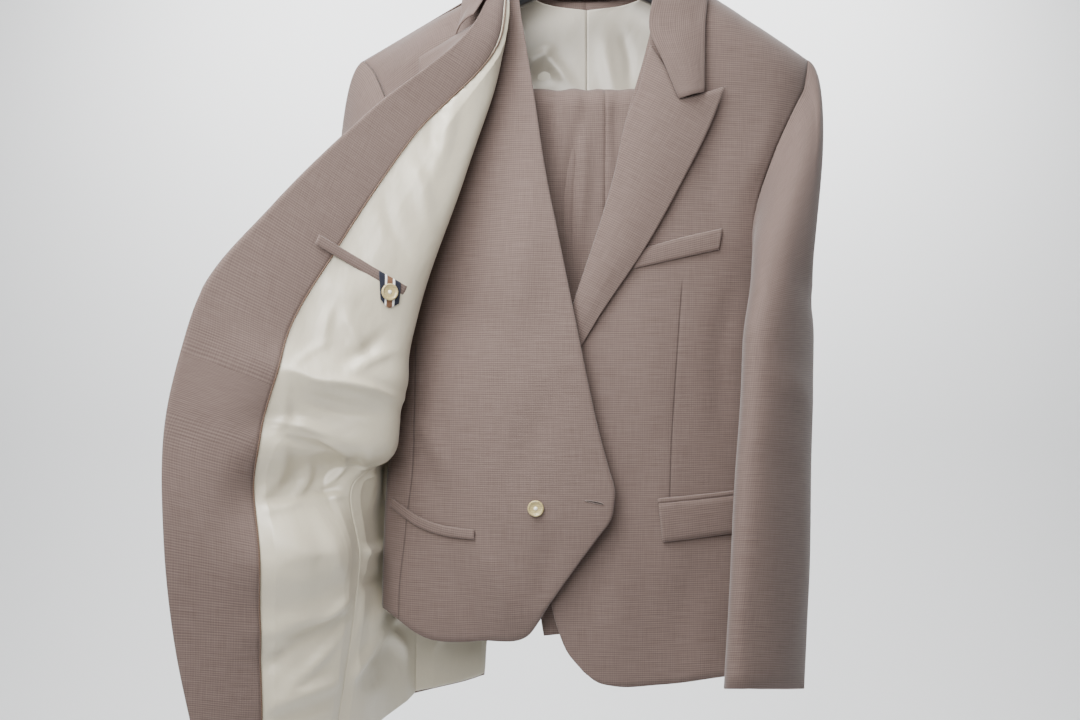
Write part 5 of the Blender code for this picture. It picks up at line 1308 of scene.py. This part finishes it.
# --------------------------------------------------------------------------------------------------
# Waistcoat: two fronts in suit cloth and a satin back in two halves. It hangs inside the jacket, and its
# right front is drawn out over the jacket's left front, with a welt pocket, a dart seam, a button and a
# buttonhole.
# --------------------------------------------------------------------------------------------------
WAISTCOAT_SECTIONS = (
    Section(-90.0, 18.4, 4.6, 3.4),
    Section(-66.0, 18.2, 4.6, 3.4),
    Section(-42.0, 18.6, 4.6, 3.4),
    Section(-18.0, 19.5, 4.4, 3.4),
    Section(-5.0, 20.0, 4.2, 3.2),
)
VEST_DROP = 0.6
VEST_LOWER, VEST_UPPER, VEST_OVER = 7 * FINE, 4 * FINE, 3 * FINE
VEST_STEPS = (VEST_LOWER, VEST_UPPER, VEST_OVER)
VEST_TIP = (16.4, NECK_Z - VEST_DROP - SHOULDER_FALL * (16.4 - NECK_X))
VEST_NECK = (8.0, NECK_Z - VEST_DROP - SHOULDER_FALL * (8.0 - NECK_X))
VEST_DEEP = 4.1  # how deep the middle of its back sits
free_edge = panel_edge(
    VEST_STEPS,
    (
        (-4.9, -6.6, -74.5), (-3.6, -7.1, -72.3), (-1.7, -7.4, -69.5), (0.8, -7.6, -66.1),
        (1.7, -7.65, -64.9), (2.05, -7.7, -63.2), (2.1, -7.7, -61.9), (1.6, -7.7, -60.1),
        (0.4, -7.7, -55.6), (-0.3, -7.7, -52.4), (-1.5, -7.6, -46.5),
    ),
    ((-3.2, -6.9, -37.9), (-4.4, -6.0, -31.8), (-5.7, -5.0, -23.0), (-7.0, -3.7, -14.8)),
    ((-7.3, -2.9, -12.6), (-7.8, -1.4, -11.0), (-VEST_NECK[0], 0.0, VEST_NECK[1])),
)
side_edge = panel_edge(
    VEST_STEPS,
    (
        (-20.7, -3.7, -74.0), (-20.5, -3.8, -67.2), (-20.2, -3.8, -61.3), (-18.6, -3.4, -50.0),
        (-17.8, -2.6, -43.5),
    ),
    ((-15.4, -3.8, -38.0), (-14.2, -4.0, -31.5), (-14.3, -3.4, -24.5), (-15.3, -2.6, -19.2)),
    ((-VEST_TIP[0], 0.0, VEST_TIP[1]),),
)
foot = curve(
    (
        (-20.7, -3.7, -74.0), (-19.1, -5.0, -74.7), (-16.4, -5.6, -76.3), (-10.4, -6.1, -76.6),
        (-6.2, -6.4, -76.1), (-4.9, -6.6, -74.5),
    ),
    7 * FINE + 1,
)
grid = patch(foot, np.linspace(side_edge[-1], free_edge[-1], 7 * FINE + 1), side_edge, free_edge)
across = np.linspace(0.0, 1.0, grid.shape[1])[None, :]
up = np.linspace(0.0, 1.0, grid.shape[0])[:, None]
full = np.sin(np.pi * across) ** 0.8 * np.clip((0.8 - up) / 0.35, 0.0, 1.0) * np.minimum(1.0, 0.35 + 3 * up)
grid[..., 1] -= 1.1 * full
vest_right = hanging(grid)

front_v = panel_edge(
    VEST_STEPS,
    ((-4.6, -76.6), (-4.9, -74.5), (-4.4, -68.0), (-3.2, -60.0), (-1.6, -52.0), (0.1, -45.0)),
    ((2.0, -38.0), (3.8, -32.0), (5.4, -25.0), (7.0, -18.0), (7.6, -15.0)),
    ((7.8, -12.8), (7.9, -11.4), VEST_NECK),
)
vest_side = panel_edge(
    VEST_STEPS,
    ((17.9, -74.5), (17.8, -60.0), (17.6, -50.0), (17.4, -43.5)),
    ((15.4, -38.0), (14.2, -31.5), (14.3, -24.5), (15.3, -19.2)),
    (VEST_TIP,),
)
grid = patch(
    curve(((-4.6, -76.6), (-2.8, -76.4), (6.0, -75.4), (17.9, -74.5)), 6 * FINE + 1),
    np.linspace(VEST_NECK, VEST_TIP, 6 * FINE + 1), front_v, vest_side,
)
vest_left = hanging(on_body(grid, WAISTCOAT_SECTIONS, -1, drop=VEST_DROP))


def rounded_back(flat, seam, deep, drop):
    """A back panel: y runs from the side seam's own depth to deep, along (1 - across^3.2)^(1/2), across
    being the share of the way out to the seam, and times the quarter ellipse below the shoulder."""
    x, z = flat[..., 0], flat[..., 1]
    across = np.clip(np.abs(x) / np.maximum(np.abs(seam[:, :1]), 1e-6), 0.0, 1.0)
    below = NECK_Z - drop - SHOULDER_FALL * (np.abs(x) - NECK_X) - z
    arch = np.sqrt(1 - (1 - np.clip(below / SHOULDER_ARCH, 0.0, 1.0)) ** 2)
    y = seam[:, 1:2] + (deep * arch - seam[:, 1:2]) * np.sqrt(1 - across**SIDE_POWER)
    return np.stack([x, y, z], axis=-1)


vest_centre = panel_edge(
    VEST_STEPS,
    ((0.0, -75.0), (0.0, -60.0), (0.0, -43.5)),
    ((0.0, -30.0), (0.0, -18.0)),
    ((0.0, -14.5), (0.0, -12.0)),
)
vest_armhole = curve(
    ((17.8, -43.5), (16.8, -38.5), (15.2, -31.5), (15.2, -24.5), (15.6, -19.2)), VEST_UPPER + 1
)
vest_backs = []
ARMHOLE, SHOULDER_STEPS = slice(VEST_LOWER, VEST_LOWER + VEST_UPPER + 1), np.arange(VEST_OVER + 1) / FINE
for front_side in (vest_left.grid[:, -1], vest_right.grid[:, 0] * np.array((-1.0, 1.0, 1.0))):
    seam_at = front_side.copy()
    seam_at[ARMHOLE, [0, 2]] = vest_armhole
    seam_at[VEST_LOWER, [0, 2]] = front_side[VEST_LOWER, [0, 2]]
    depth = np.linspace(1.0, 2.6, VEST_UPPER + 1)
    depth[: FINE + 1] = np.linspace(front_side[VEST_LOWER, 1], depth[FINE], FINE + 1)
    seam_at[ARMHOLE, 1] = depth
    seam_at[-VEST_OVER - 1 :, 1] = np.interp(SHOULDER_STEPS, (0, 1, 2, 3), (2.6, 1.9, 1.0, 0.0))
    foot = curve(((seam_at[0, 0], seam_at[0, 2]), (10.0, -75.2), (0.0, -75.0)), 5 * FINE + 1)
    top = joined(
        np.linspace((seam_at[-1, 0], seam_at[-1, 2]), VEST_NECK, 3 * FINE + 1),
        curve((VEST_NECK, (4.5, -11.4), (0.0, -12.0)), 2 * FINE + 1),
    )
    flat = patch(foot, top, seam_at[:, [0, 2]], vest_centre)
    vest_backs.append(rounded_back(flat, seam_at, VEST_DEEP, VEST_DROP))
vest_back_left, vest_back_right = hanging(vest_backs[0]), hanging(mirrored(vest_backs[1]))
to_underarm = slice(0, VEST_LOWER + 1)
share_edge(vest_left, (to_underarm, -1), vest_back_left, (to_underarm, 0))
share_edge(vest_back_right, (to_underarm, -1), vest_right, (to_underarm, 0))
vest_left.out[-1] = RIDGE
vest_back_left.out[-1, : 3 * FINE + 1] = RIDGE
vest_right.out[-1] = ridge
vest_back_right.out[-1, -(3 * FINE + 1) :] = ridge

VEST_DART = (
    (-17.3, -48.0), (-17.3, -53.2), (-17.5, -61.2), (-18.0, -65.1), (-18.2, -67.1), (-18.7, -71.5),
    (-18.8, -74.6),
)
VEST_CREASES = (
    Crease(-6.4, -28.0, -8.6, -48.0, 2.0, 0.50),
    Crease(-10.6, -34.0, -14.0, -50.0, 2.0, -0.44),
    Crease(-13.6, -46.0, -14.4, -60.0, 1.8, 0.34),
    Crease(-3.6, -52.0, -6.4, -62.0, 1.8, -0.26),
    Crease(-11.4, -66.2, -7.6, -75.8, 1.1, 0.42),
    Crease(-13.4, -68.2, -10.2, -77.0, 1.0, -0.32),
    Crease(-17.8, -54.5, -13.4, -61.5, 0.9, 0.28),
    Crease(-17.0, -57.6, -13.8, -64.0, 0.9, -0.24),
    Crease(-3.4, -66.0, -5.0, -74.0, 1.2, -0.20),
)
VEST_BACK_CREASES = (
    Crease(-6.6, -17.6, -3.8, -16.2, 0.55, -0.50),
    Crease(-4.6, -16.3, -1.2, -20.0, 0.55, -0.50),
    Crease(-6.4, -19.6, -3.0, -18.8, 0.90, 0.60),
    Crease(1.6, -13.5, 3.4, -21.5, 0.80, -0.40),
    Crease(3.6, -14.0, 4.6, -20.5, 0.60, 0.30),
    Crease(6.0, -16.0, 3.0, -32.0, 1.6, 0.35),
    Crease(-6.0, -16.0, -3.4, -34.0, 1.5, -0.35),
    Crease(9.0, -36.0, 4.0, -60.0, 2.0, 0.35),
    Crease(-9.0, -40.0, -5.0, -66.0, 2.0, -0.35),
)
vest_right = uneven(creased(vest_right, VEST_CREASES, still_at_edges(vest_right, "left", "top")), 0.02, 21)
piece = inset(vest_right, left=0.02, top=0.03)
cloth("waistcoat_right_front", piece, SUITING, seams=[VEST_DART])
cloth("waistcoat_left_front", inset(vest_left, right=0.02, top=0.03), SUITING)
for name, piece in (("left", vest_back_left), ("right", vest_back_right)):
    piece = finer(piece, 2, 2)
    piece = creased(piece, VEST_BACK_CREASES, still_at_edges(piece, "left", "right", "top"))
    piece = inset(piece, left=0.05, right=0.05, top=0.03)
    cloth(f"waistcoat_back_{name}", piece, GREY_SATIN, LINING_WALL)
welt = strip_on(
    vest_right,
    ((-19.6, -63.9), (-18.3, -64.7), (-16.7, -65.6), (-14.9, -66.2), (-13.1, -66.5), (-11.3, -66.6)),
    ((-19.4, -63.1), (-18.2, -63.8), (-16.6, -64.7), (-14.9, -65.3), (-13.1, -65.6), (-11.3, -65.7)),
    PROUD + 0.06,
)
cloth("waistcoat_welt", welt, SUITING, sheet=False)
button("waistcoat_button", vest_right, place(vest_right.grid, -5.4, -63.6), 0.03, 0.78, 0.32)
# The thread's darker colour is painted shade in the grooves of its twist.
THREAD = twisted("buttonhole_thread", (0.20, 0.15, 0.13, 1.0), (0.09, 0.06, 0.05, 1.0), 0.0009)
# The buttonhole's slit is a near-black cord sunk into the cut: a painted shadow for the dark inside it.
SLIT_SHADOW = material("slit", 0.9, Base_Color=(0.006, 0.005, 0.005, 1.0))[0]
HOLE_START, HOLE_END = np.array((-0.75, -62.85)), np.array((1.0, -63.2))
HOLE_WIDTH = 0.08  # about half its width, which grows towards its end
turn = np.linspace(0.0, 2 * np.pi, 60)
share = (0.5 - 0.5 * np.cos(turn))[:, None]
aside = (HOLE_WIDTH * np.sin(turn))[:, None] * (0.6 + share)
spots = HOLE_START + share * (HOLE_END - HOLE_START) + aside * (0, 1)
found = np.array([place(vest_right.grid, x, z) for x, z in spots])
Cord = namedtuple("Cord", "name lift points radius finish sunk")
for cord in (
    Cord("buttonhole_edge", 0.03, slice(None), 0.00045, THREAD, 0.0),
    Cord("buttonhole_slit_shadow", 0.015, slice(6, 30), 0.0006, SLIT_SHADOW, 0.05),
):
    line = laid(vest_right, found[cord.points, 0], found[cord.points, 1], cord.lift)
    swept(cord.name, line - (0.0, 0.0, cord.sunk), cord.radius, cord.finish, sides=8)

# --------------------------------------------------------------------------------------------------
# Trousers: folded along their creases and laid over the bar, the left leg over the right. Each leg is a
# flattened tube of a front and a back panel; its side seam runs down the middle of the layer that faces away
# from the other.
# --------------------------------------------------------------------------------------------------
BAR_HEIGHT, BAR_RADIUS, BAR_HALF_SPAN = -23.9, 0.55, 19.3
# side is -1 before the bar, 0 over it and 1 behind it, where down is in degrees when over it
Along = namedtuple("Along", "side down middle half inner")
TROUSER_ROWS = (
    Along(-1, 49.5, 1.2, 9.4, 1.0),
    Along(-1, 38.0, 1.3, 9.8, 1.0),
    Along(-1, 25.0, 1.4, 10.3, 1.0),
    Along(-1, 13.0, 1.5, 10.8, 1.0),
    Along(-1, 4.0, 1.6, 11.1, 1.0),
    Along(0, 0.0, 1.6, 11.2, 1.0),
    Along(0, 45.0, 1.6, 11.3, 1.0),
    Along(0, 90.0, 1.6, 11.3, 1.0),
    Along(0, 135.0, 1.6, 11.4, 1.0),
    Along(0, 180.0, 1.5, 11.5, 1.0),
    Along(1, 5.0, 1.2, 11.9, 1.0),
    Along(1, 14.0, 0.6, 12.6, 1.0),
    Along(1, 20.5, 0.2, 13.2, 1.0),
    Along(1, 24.0, 0.0, 13.4, 0.62),
    Along(1, 28.0, 0.0, 13.6, 0.25),
    Along(1, 32.0, 0.0, 13.8, 0.0),
    Along(1, 39.0, 0.0, 13.9, 0.0),
    Along(1, 45.0, 0.0, 13.9, 0.0),
)
LEG_GAP = 0.42  # half the distance between the two legs' middles
LEG_OPEN = 0.30  # half a leg's thickness
BETWEEN_LEGS = BAR_RADIUS + 0.95
BAND_WIDTH = 3.8
ARC = np.pi * BETWEEN_LEGS
LEG_CREASES = (
    Crease(-3.0, -21.0, -3.2, -34.0, 0.8, -0.34),
    Crease(-1.7, -21.0, -1.9, -40.0, 0.7, 0.30),
    Crease(-0.3, -22.5, -1.0, -46.0, 0.65, -0.44),
    Crease(0.9, -21.0, 0.0, -42.0, 0.6, 0.20),
    Crease(3.2, -21.5, 3.0, -30.0, 0.5, -0.26),
    Crease(4.4, -21.5, 4.8, -44.0, 0.8, 0.20),
    Crease(-5.4, -21.5, -6.4, -50.0, 1.2, 0.26),
)


def over_bar(q, x, off):
    """A point at the distance q along the path, whose straight parts hang at off before and behind the bar,
    and whose arc is (-off cos a, off sin a) about it."""
    a = np.clip(q, 0.0, ARC) / ARC * np.pi
    down = np.maximum(-q, 0.0) + np.maximum(q - ARC, 0.0)
    return np.stack([x, -off * np.cos(a), BAR_HEIGHT + off * np.sin(a) - down], axis=-1)


def along_path(row):
    """How far along the path over the bar a row lies: down before it, degrees round it, or down behind it."""
    if row.side == 0:
        return row.down / 180 * ARC
    return -row.down if row.side < 0 else ARC + row.down


def leg_panel(outer, front, columns=4 * FINE + 1):
    """Half a leg: t runs from -inner on the layer between the legs, through 0 at the crease, to 1 at the side
    seam. x = half (1 - |t|) from the middle, and the layers part along a quarter circle at the crease."""
    away = 1.0 if outer else -1.0  # the side seam's layer faces away from the other leg
    edge = -1.0 if front else 1.0  # the front crease hangs at -X, the back one at +X
    q = [along_path(row) for row in TROUSER_ROWS]
    count = len(TROUSER_ROWS)
    fine = np.interp(np.arange((count - 1) * FINE + 1) / FINE, np.arange(count), q)[:, None]
    middle, half, inner = [
        np.interp(fine, q, [getattr(row, name) for row in TROUSER_ROWS])
        for name in ("middle", "half", "inner")
    ]
    above = np.clip((0.25 - inner) / 0.25, 0.0, 1.0)
    layer = BETWEEN_LEGS + away * (LEG_GAP + (0.14 - LEG_GAP) * above)
    thick = LEG_OPEN + 0.16 * above
    s = -(inner ** (1 / 1.5)) + (1 + inner ** (1 / 1.5)) * np.linspace(0.0, 1.0, columns)[None, :]
    t = np.sign(s) * np.abs(s) ** 1.5
    x = middle + edge * half * (1 - np.abs(t))
    parted = np.sqrt(1 - (1 - np.clip(np.abs(t) * half / (1.3 * thick), 0, 1)) ** 2)
    made = over_bar(fine + 0 * x, x, layer + away * thick * np.sign(t) * parted)
    return along_cut(made if (edge < 0) == outer else made[:, ::-1])


for name, outer in (("left", True), ("right", False)):
    fore, aft = leg_panel(outer, True), leg_panel(outer, False)
    side, other = (-1, 0) if outer else (0, -1)
    share_edge(fore, (slice(None), side), aft, (slice(None), other))
    for half, piece in (("front", fore), ("back", aft)):
        if outer:
            piece = finer(piece, 1, 3)
            from_seam = piece.grid[..., 0] - piece.grid[:, side if half == "front" else other, 0][:, None]
            piece = creased(piece, LEG_CREASES, np.clip(np.abs(from_seam) / 0.6, 0.0, 1.0), -0.3)
        piece = inset(piece, left=0.02, right=0.02)
        cloth(f"trousers_{name}_{half}", piece, SUITING)

last = TROUSER_ROWS[-1]
around = np.linspace(0.0, 2 * np.pi, 16 * 4, endpoint=False)[None, :]
down = last.down + np.linspace(0.06, BAND_WIDTH, 10)[:, None] + 0 * around
x = last.middle - (last.half + 0.05) * np.cos(around) + 0 * down
waistband = over_bar(ARC + down, x, BETWEEN_LEGS + 0.66 * np.sin(around) + 0 * down)
cloth("trousers_waistband", along_cut(waistband, loop=True), SUITING, loop=True)

# --------------------------------------------------------------------------------------------------
# Hanger: arms of black-lacquered wood, a steel bar on two bent ends for the trousers, and a wire hook. The
# hook goes into the arms' crown, and the bar's ends go up to their undersides.
# --------------------------------------------------------------------------------------------------
HOOK_RADIUS, HOOK_WIRE = 2.2, 0.2
ARM_HALF_HEIGHT, ARM_HALF_DEPTH, ARM_HALF_SPAN = 1.2, 0.7, 20.3
ARM_SLOPE, ARM_CROWN, ARM_EASE = 0.6, -6.8, 5.0  # ease is how widely the arms round over at the hook
BAR_BEND = 1.2


def lacquer():
    """Black lacquer over wood: a clear coat on a near-black body whose roughness shows faint grain."""
    body = (0.004, 0.0045, 0.007, 1.0)
    made, tree, shader = material("black_lacquer", 0.4, Coat_Weight=0.8, Coat_Roughness=0.1, Base_Color=body)
    grain = streaks(tree, node(tree, "ShaderNodeTexCoord").outputs["Object"], 12.0, 300.0)
    tree.links.new(reckon(tree, "MULTIPLY_ADD", grain, 0.25, 0.3), shader.inputs["Roughness"])
    return made


def steel():
    """Polished steel with fine scratches along it."""
    made, tree, shader = material("steel", 0.2, metallic=1.0, Base_Color=(0.62, 0.62, 0.64, 1.0))
    scratches = streaks(tree, attribute(tree, "threads", "Vector"), 2.0, 400.0)
    tree.links.new(reckon(tree, "MULTIPLY_ADD", scratches, 0.2, 0.12), shader.inputs["Roughness"])
    return made


def arm_line(x):
    """The height of the arms' centre line, the hyperbola crown - slope (x^2 + ease^2)^(1/2)."""
    return ARM_CROWN - ARM_SLOPE * np.sqrt(x**2 + ARM_EASE**2)


def arms(sides=40):
    """The arms' bar along its centre line. Its section is a squared oval, drawn in over the last centimetre
    of either end: |y / depth|^2.6 + |z / height|^2.6 = 1."""
    x = np.sin(np.linspace(-np.pi / 2, np.pi / 2, 90))[:, None] * ARM_HALF_SPAN
    left = np.clip(ARM_HALF_SPAN - np.abs(x), 0.0, 1.0)
    drawn = np.sqrt(1 - (1 - left) ** 2)
    turn = np.linspace(0.0, 2 * np.pi, sides, endpoint=False)[None, :]
    y, rise = [
        half * np.sign(way) * np.abs(way) ** (2 / 2.6) * drawn
        for half, way in ((ARM_HALF_DEPTH, np.cos(turn)), (ARM_HALF_HEIGHT, np.sin(turn)))
    ]
    points = np.stack([x + 0 * y, y, arm_line(x) + rise], axis=-1).reshape(-1, 3) * CM
    made = shaped("hanger_arms", points, faces_between(len(x), sides).tolist(), lacquer(), "_wood")
    on_suit(made, "hanger_arms")


arms()
STEEL = steel()
middle = HOOK_RADIUS + HOOK_WIRE
bend = np.radians(np.linspace(205.0, -50.0, 48))
loop = np.stack([middle * np.cos(bend), 0 * bend, -HOOK_RADIUS + middle * np.sin(bend)], axis=1)
arm_top = arm_line(0.0) + ARM_HALF_HEIGHT
stem = curve((tuple(loop[-1]), (0.35, 0.0, -5.1), (0.0, 0.0, -6.3), (0.0, 0.0, arm_top + 0.03)), 20)
swept("hook_wire", joined(loop, stem), HOOK_WIRE * CM, STEEL, "hanger_hook", sides=20)
arm_under = arm_line(BAR_HALF_SPAN + BAR_RADIUS) - ARM_HALF_HEIGHT - 0.05
turn = np.linspace(0.0, np.pi / 2, 14)
across, down = BAR_BEND - BAR_BEND * np.cos(turn), BAR_BEND - BAR_BEND * np.sin(turn)
corner = np.stack([across - BAR_HALF_SPAN, 0 * turn, BAR_HEIGHT + down], axis=1)
corner = np.concatenate([[(-BAR_HALF_SPAN, 0.0, arm_under)], corner])
path = np.concatenate([corner, corner[::-1] * (-1, 1, 1)])
swept("bar_wire", path, BAR_RADIUS * CM, STEEL, "hanger_bar", sides=20)

# --------------------------------------------------------------------------------------------------
# Studio: a pale floor that curves up behind the suit, large soft lights before it and on the wall behind, and
# the camera before its chest
# --------------------------------------------------------------------------------------------------
FLOOR_HEIGHT, FLOOR_HALF_WIDTH, FLOOR_BEHIND = -1.75, 4.0, 1.2


def backdrop():
    """The floor's section: flat to 1.2 m behind the suit, a quarter circle of 1 m radius, then upright."""
    finish = material("backdrop", 0.9, Specular_IOR_Level=0.1, Base_Color=(0.90, 0.91, 0.92, 1.0))[0]
    turn = np.linspace(0.0, np.pi / 2, 24)
    y = np.concatenate([[-4.0, FLOOR_BEHIND], FLOOR_BEHIND + np.sin(turn), [FLOOR_BEHIND + 1.0]])
    z = np.concatenate([[0.0, 0.0], 1.0 - np.cos(turn), [5.0]]) + FLOOR_HEIGHT
    x = np.tile((-FLOOR_HALF_WIDTH, FLOOR_HALF_WIDTH), len(y))
    points = np.stack([x, np.repeat(y, 2), np.repeat(z, 2)], axis=-1)
    shaped("backdrop", points, faces_between(len(y), 2, loop=False).tolist(), finish)


backdrop()
WORLD_LIGHT = 0.14
Light = namedtuple("Light", "name place aim size power")
LIGHTS = (
    Light("window", (-0.30, -0.82, -0.16), (-0.15, 0.0, -0.40), 0.6, 11.0),
    Light("key", (-0.75, -0.75, 0.80), (-0.15, 0.0, -0.35), 0.8, 32.0),
    Light("fill", (2.2, -1.0, 0.0), (0.1, 0.0, -0.5), 1.4, 9.0),
    Light("top", (-0.25, -0.70, 1.1), (-0.1, 0.0, -0.35), 0.9, 26.0),
    Light("behind left", (-0.9, 1.0, 1.0), (-0.3, 2.2, -0.4), 0.9, 50.0),
    Light("behind right", (0.9, 1.0, 1.0), (0.3, 2.2, -0.4), 0.9, 50.0),
)


def aimed(thing, spot, target):
    """Puts a thing at a spot and turns its -Z towards a target."""
    way = np.array(target, float) - np.array(spot)
    thing.location = spot
    flat = np.hypot(way[0], way[1])
    thing.rotation_euler = (np.arctan2(flat, -way[2]), 0.0, np.arctan2(way[1], way[0]) - np.pi / 2)


for row in LIGHTS:
    lamp = bpy.data.lights.new(row.name, "AREA")
    lamp.size = row.size
    lamp.energy = row.power
    made = bpy.data.objects.new(row.name, lamp)
    aimed(made, row.place, row.aim)
    made.visible_camera = False
    bpy.context.scene.collection.objects.link(made)
world = bpy.data.worlds.new("studio")
world.use_nodes = True
world.node_tree.nodes["Background"].inputs[0].default_value = (1.0, 1.0, 1.0, 1.0)
world.node_tree.nodes["Background"].inputs[1].default_value = WORLD_LIGHT
bpy.context.scene.world = world

lens = bpy.data.cameras.new("camera")
lens.lens = 32.33
camera = bpy.data.objects.new("camera", lens)
camera.location = (-0.05, -1.0, -0.495)
camera.rotation_euler = (np.pi / 2, 0.0, 0.0)
bpy.context.scene.collection.objects.link(camera)
bpy.context.scene.camera = camera
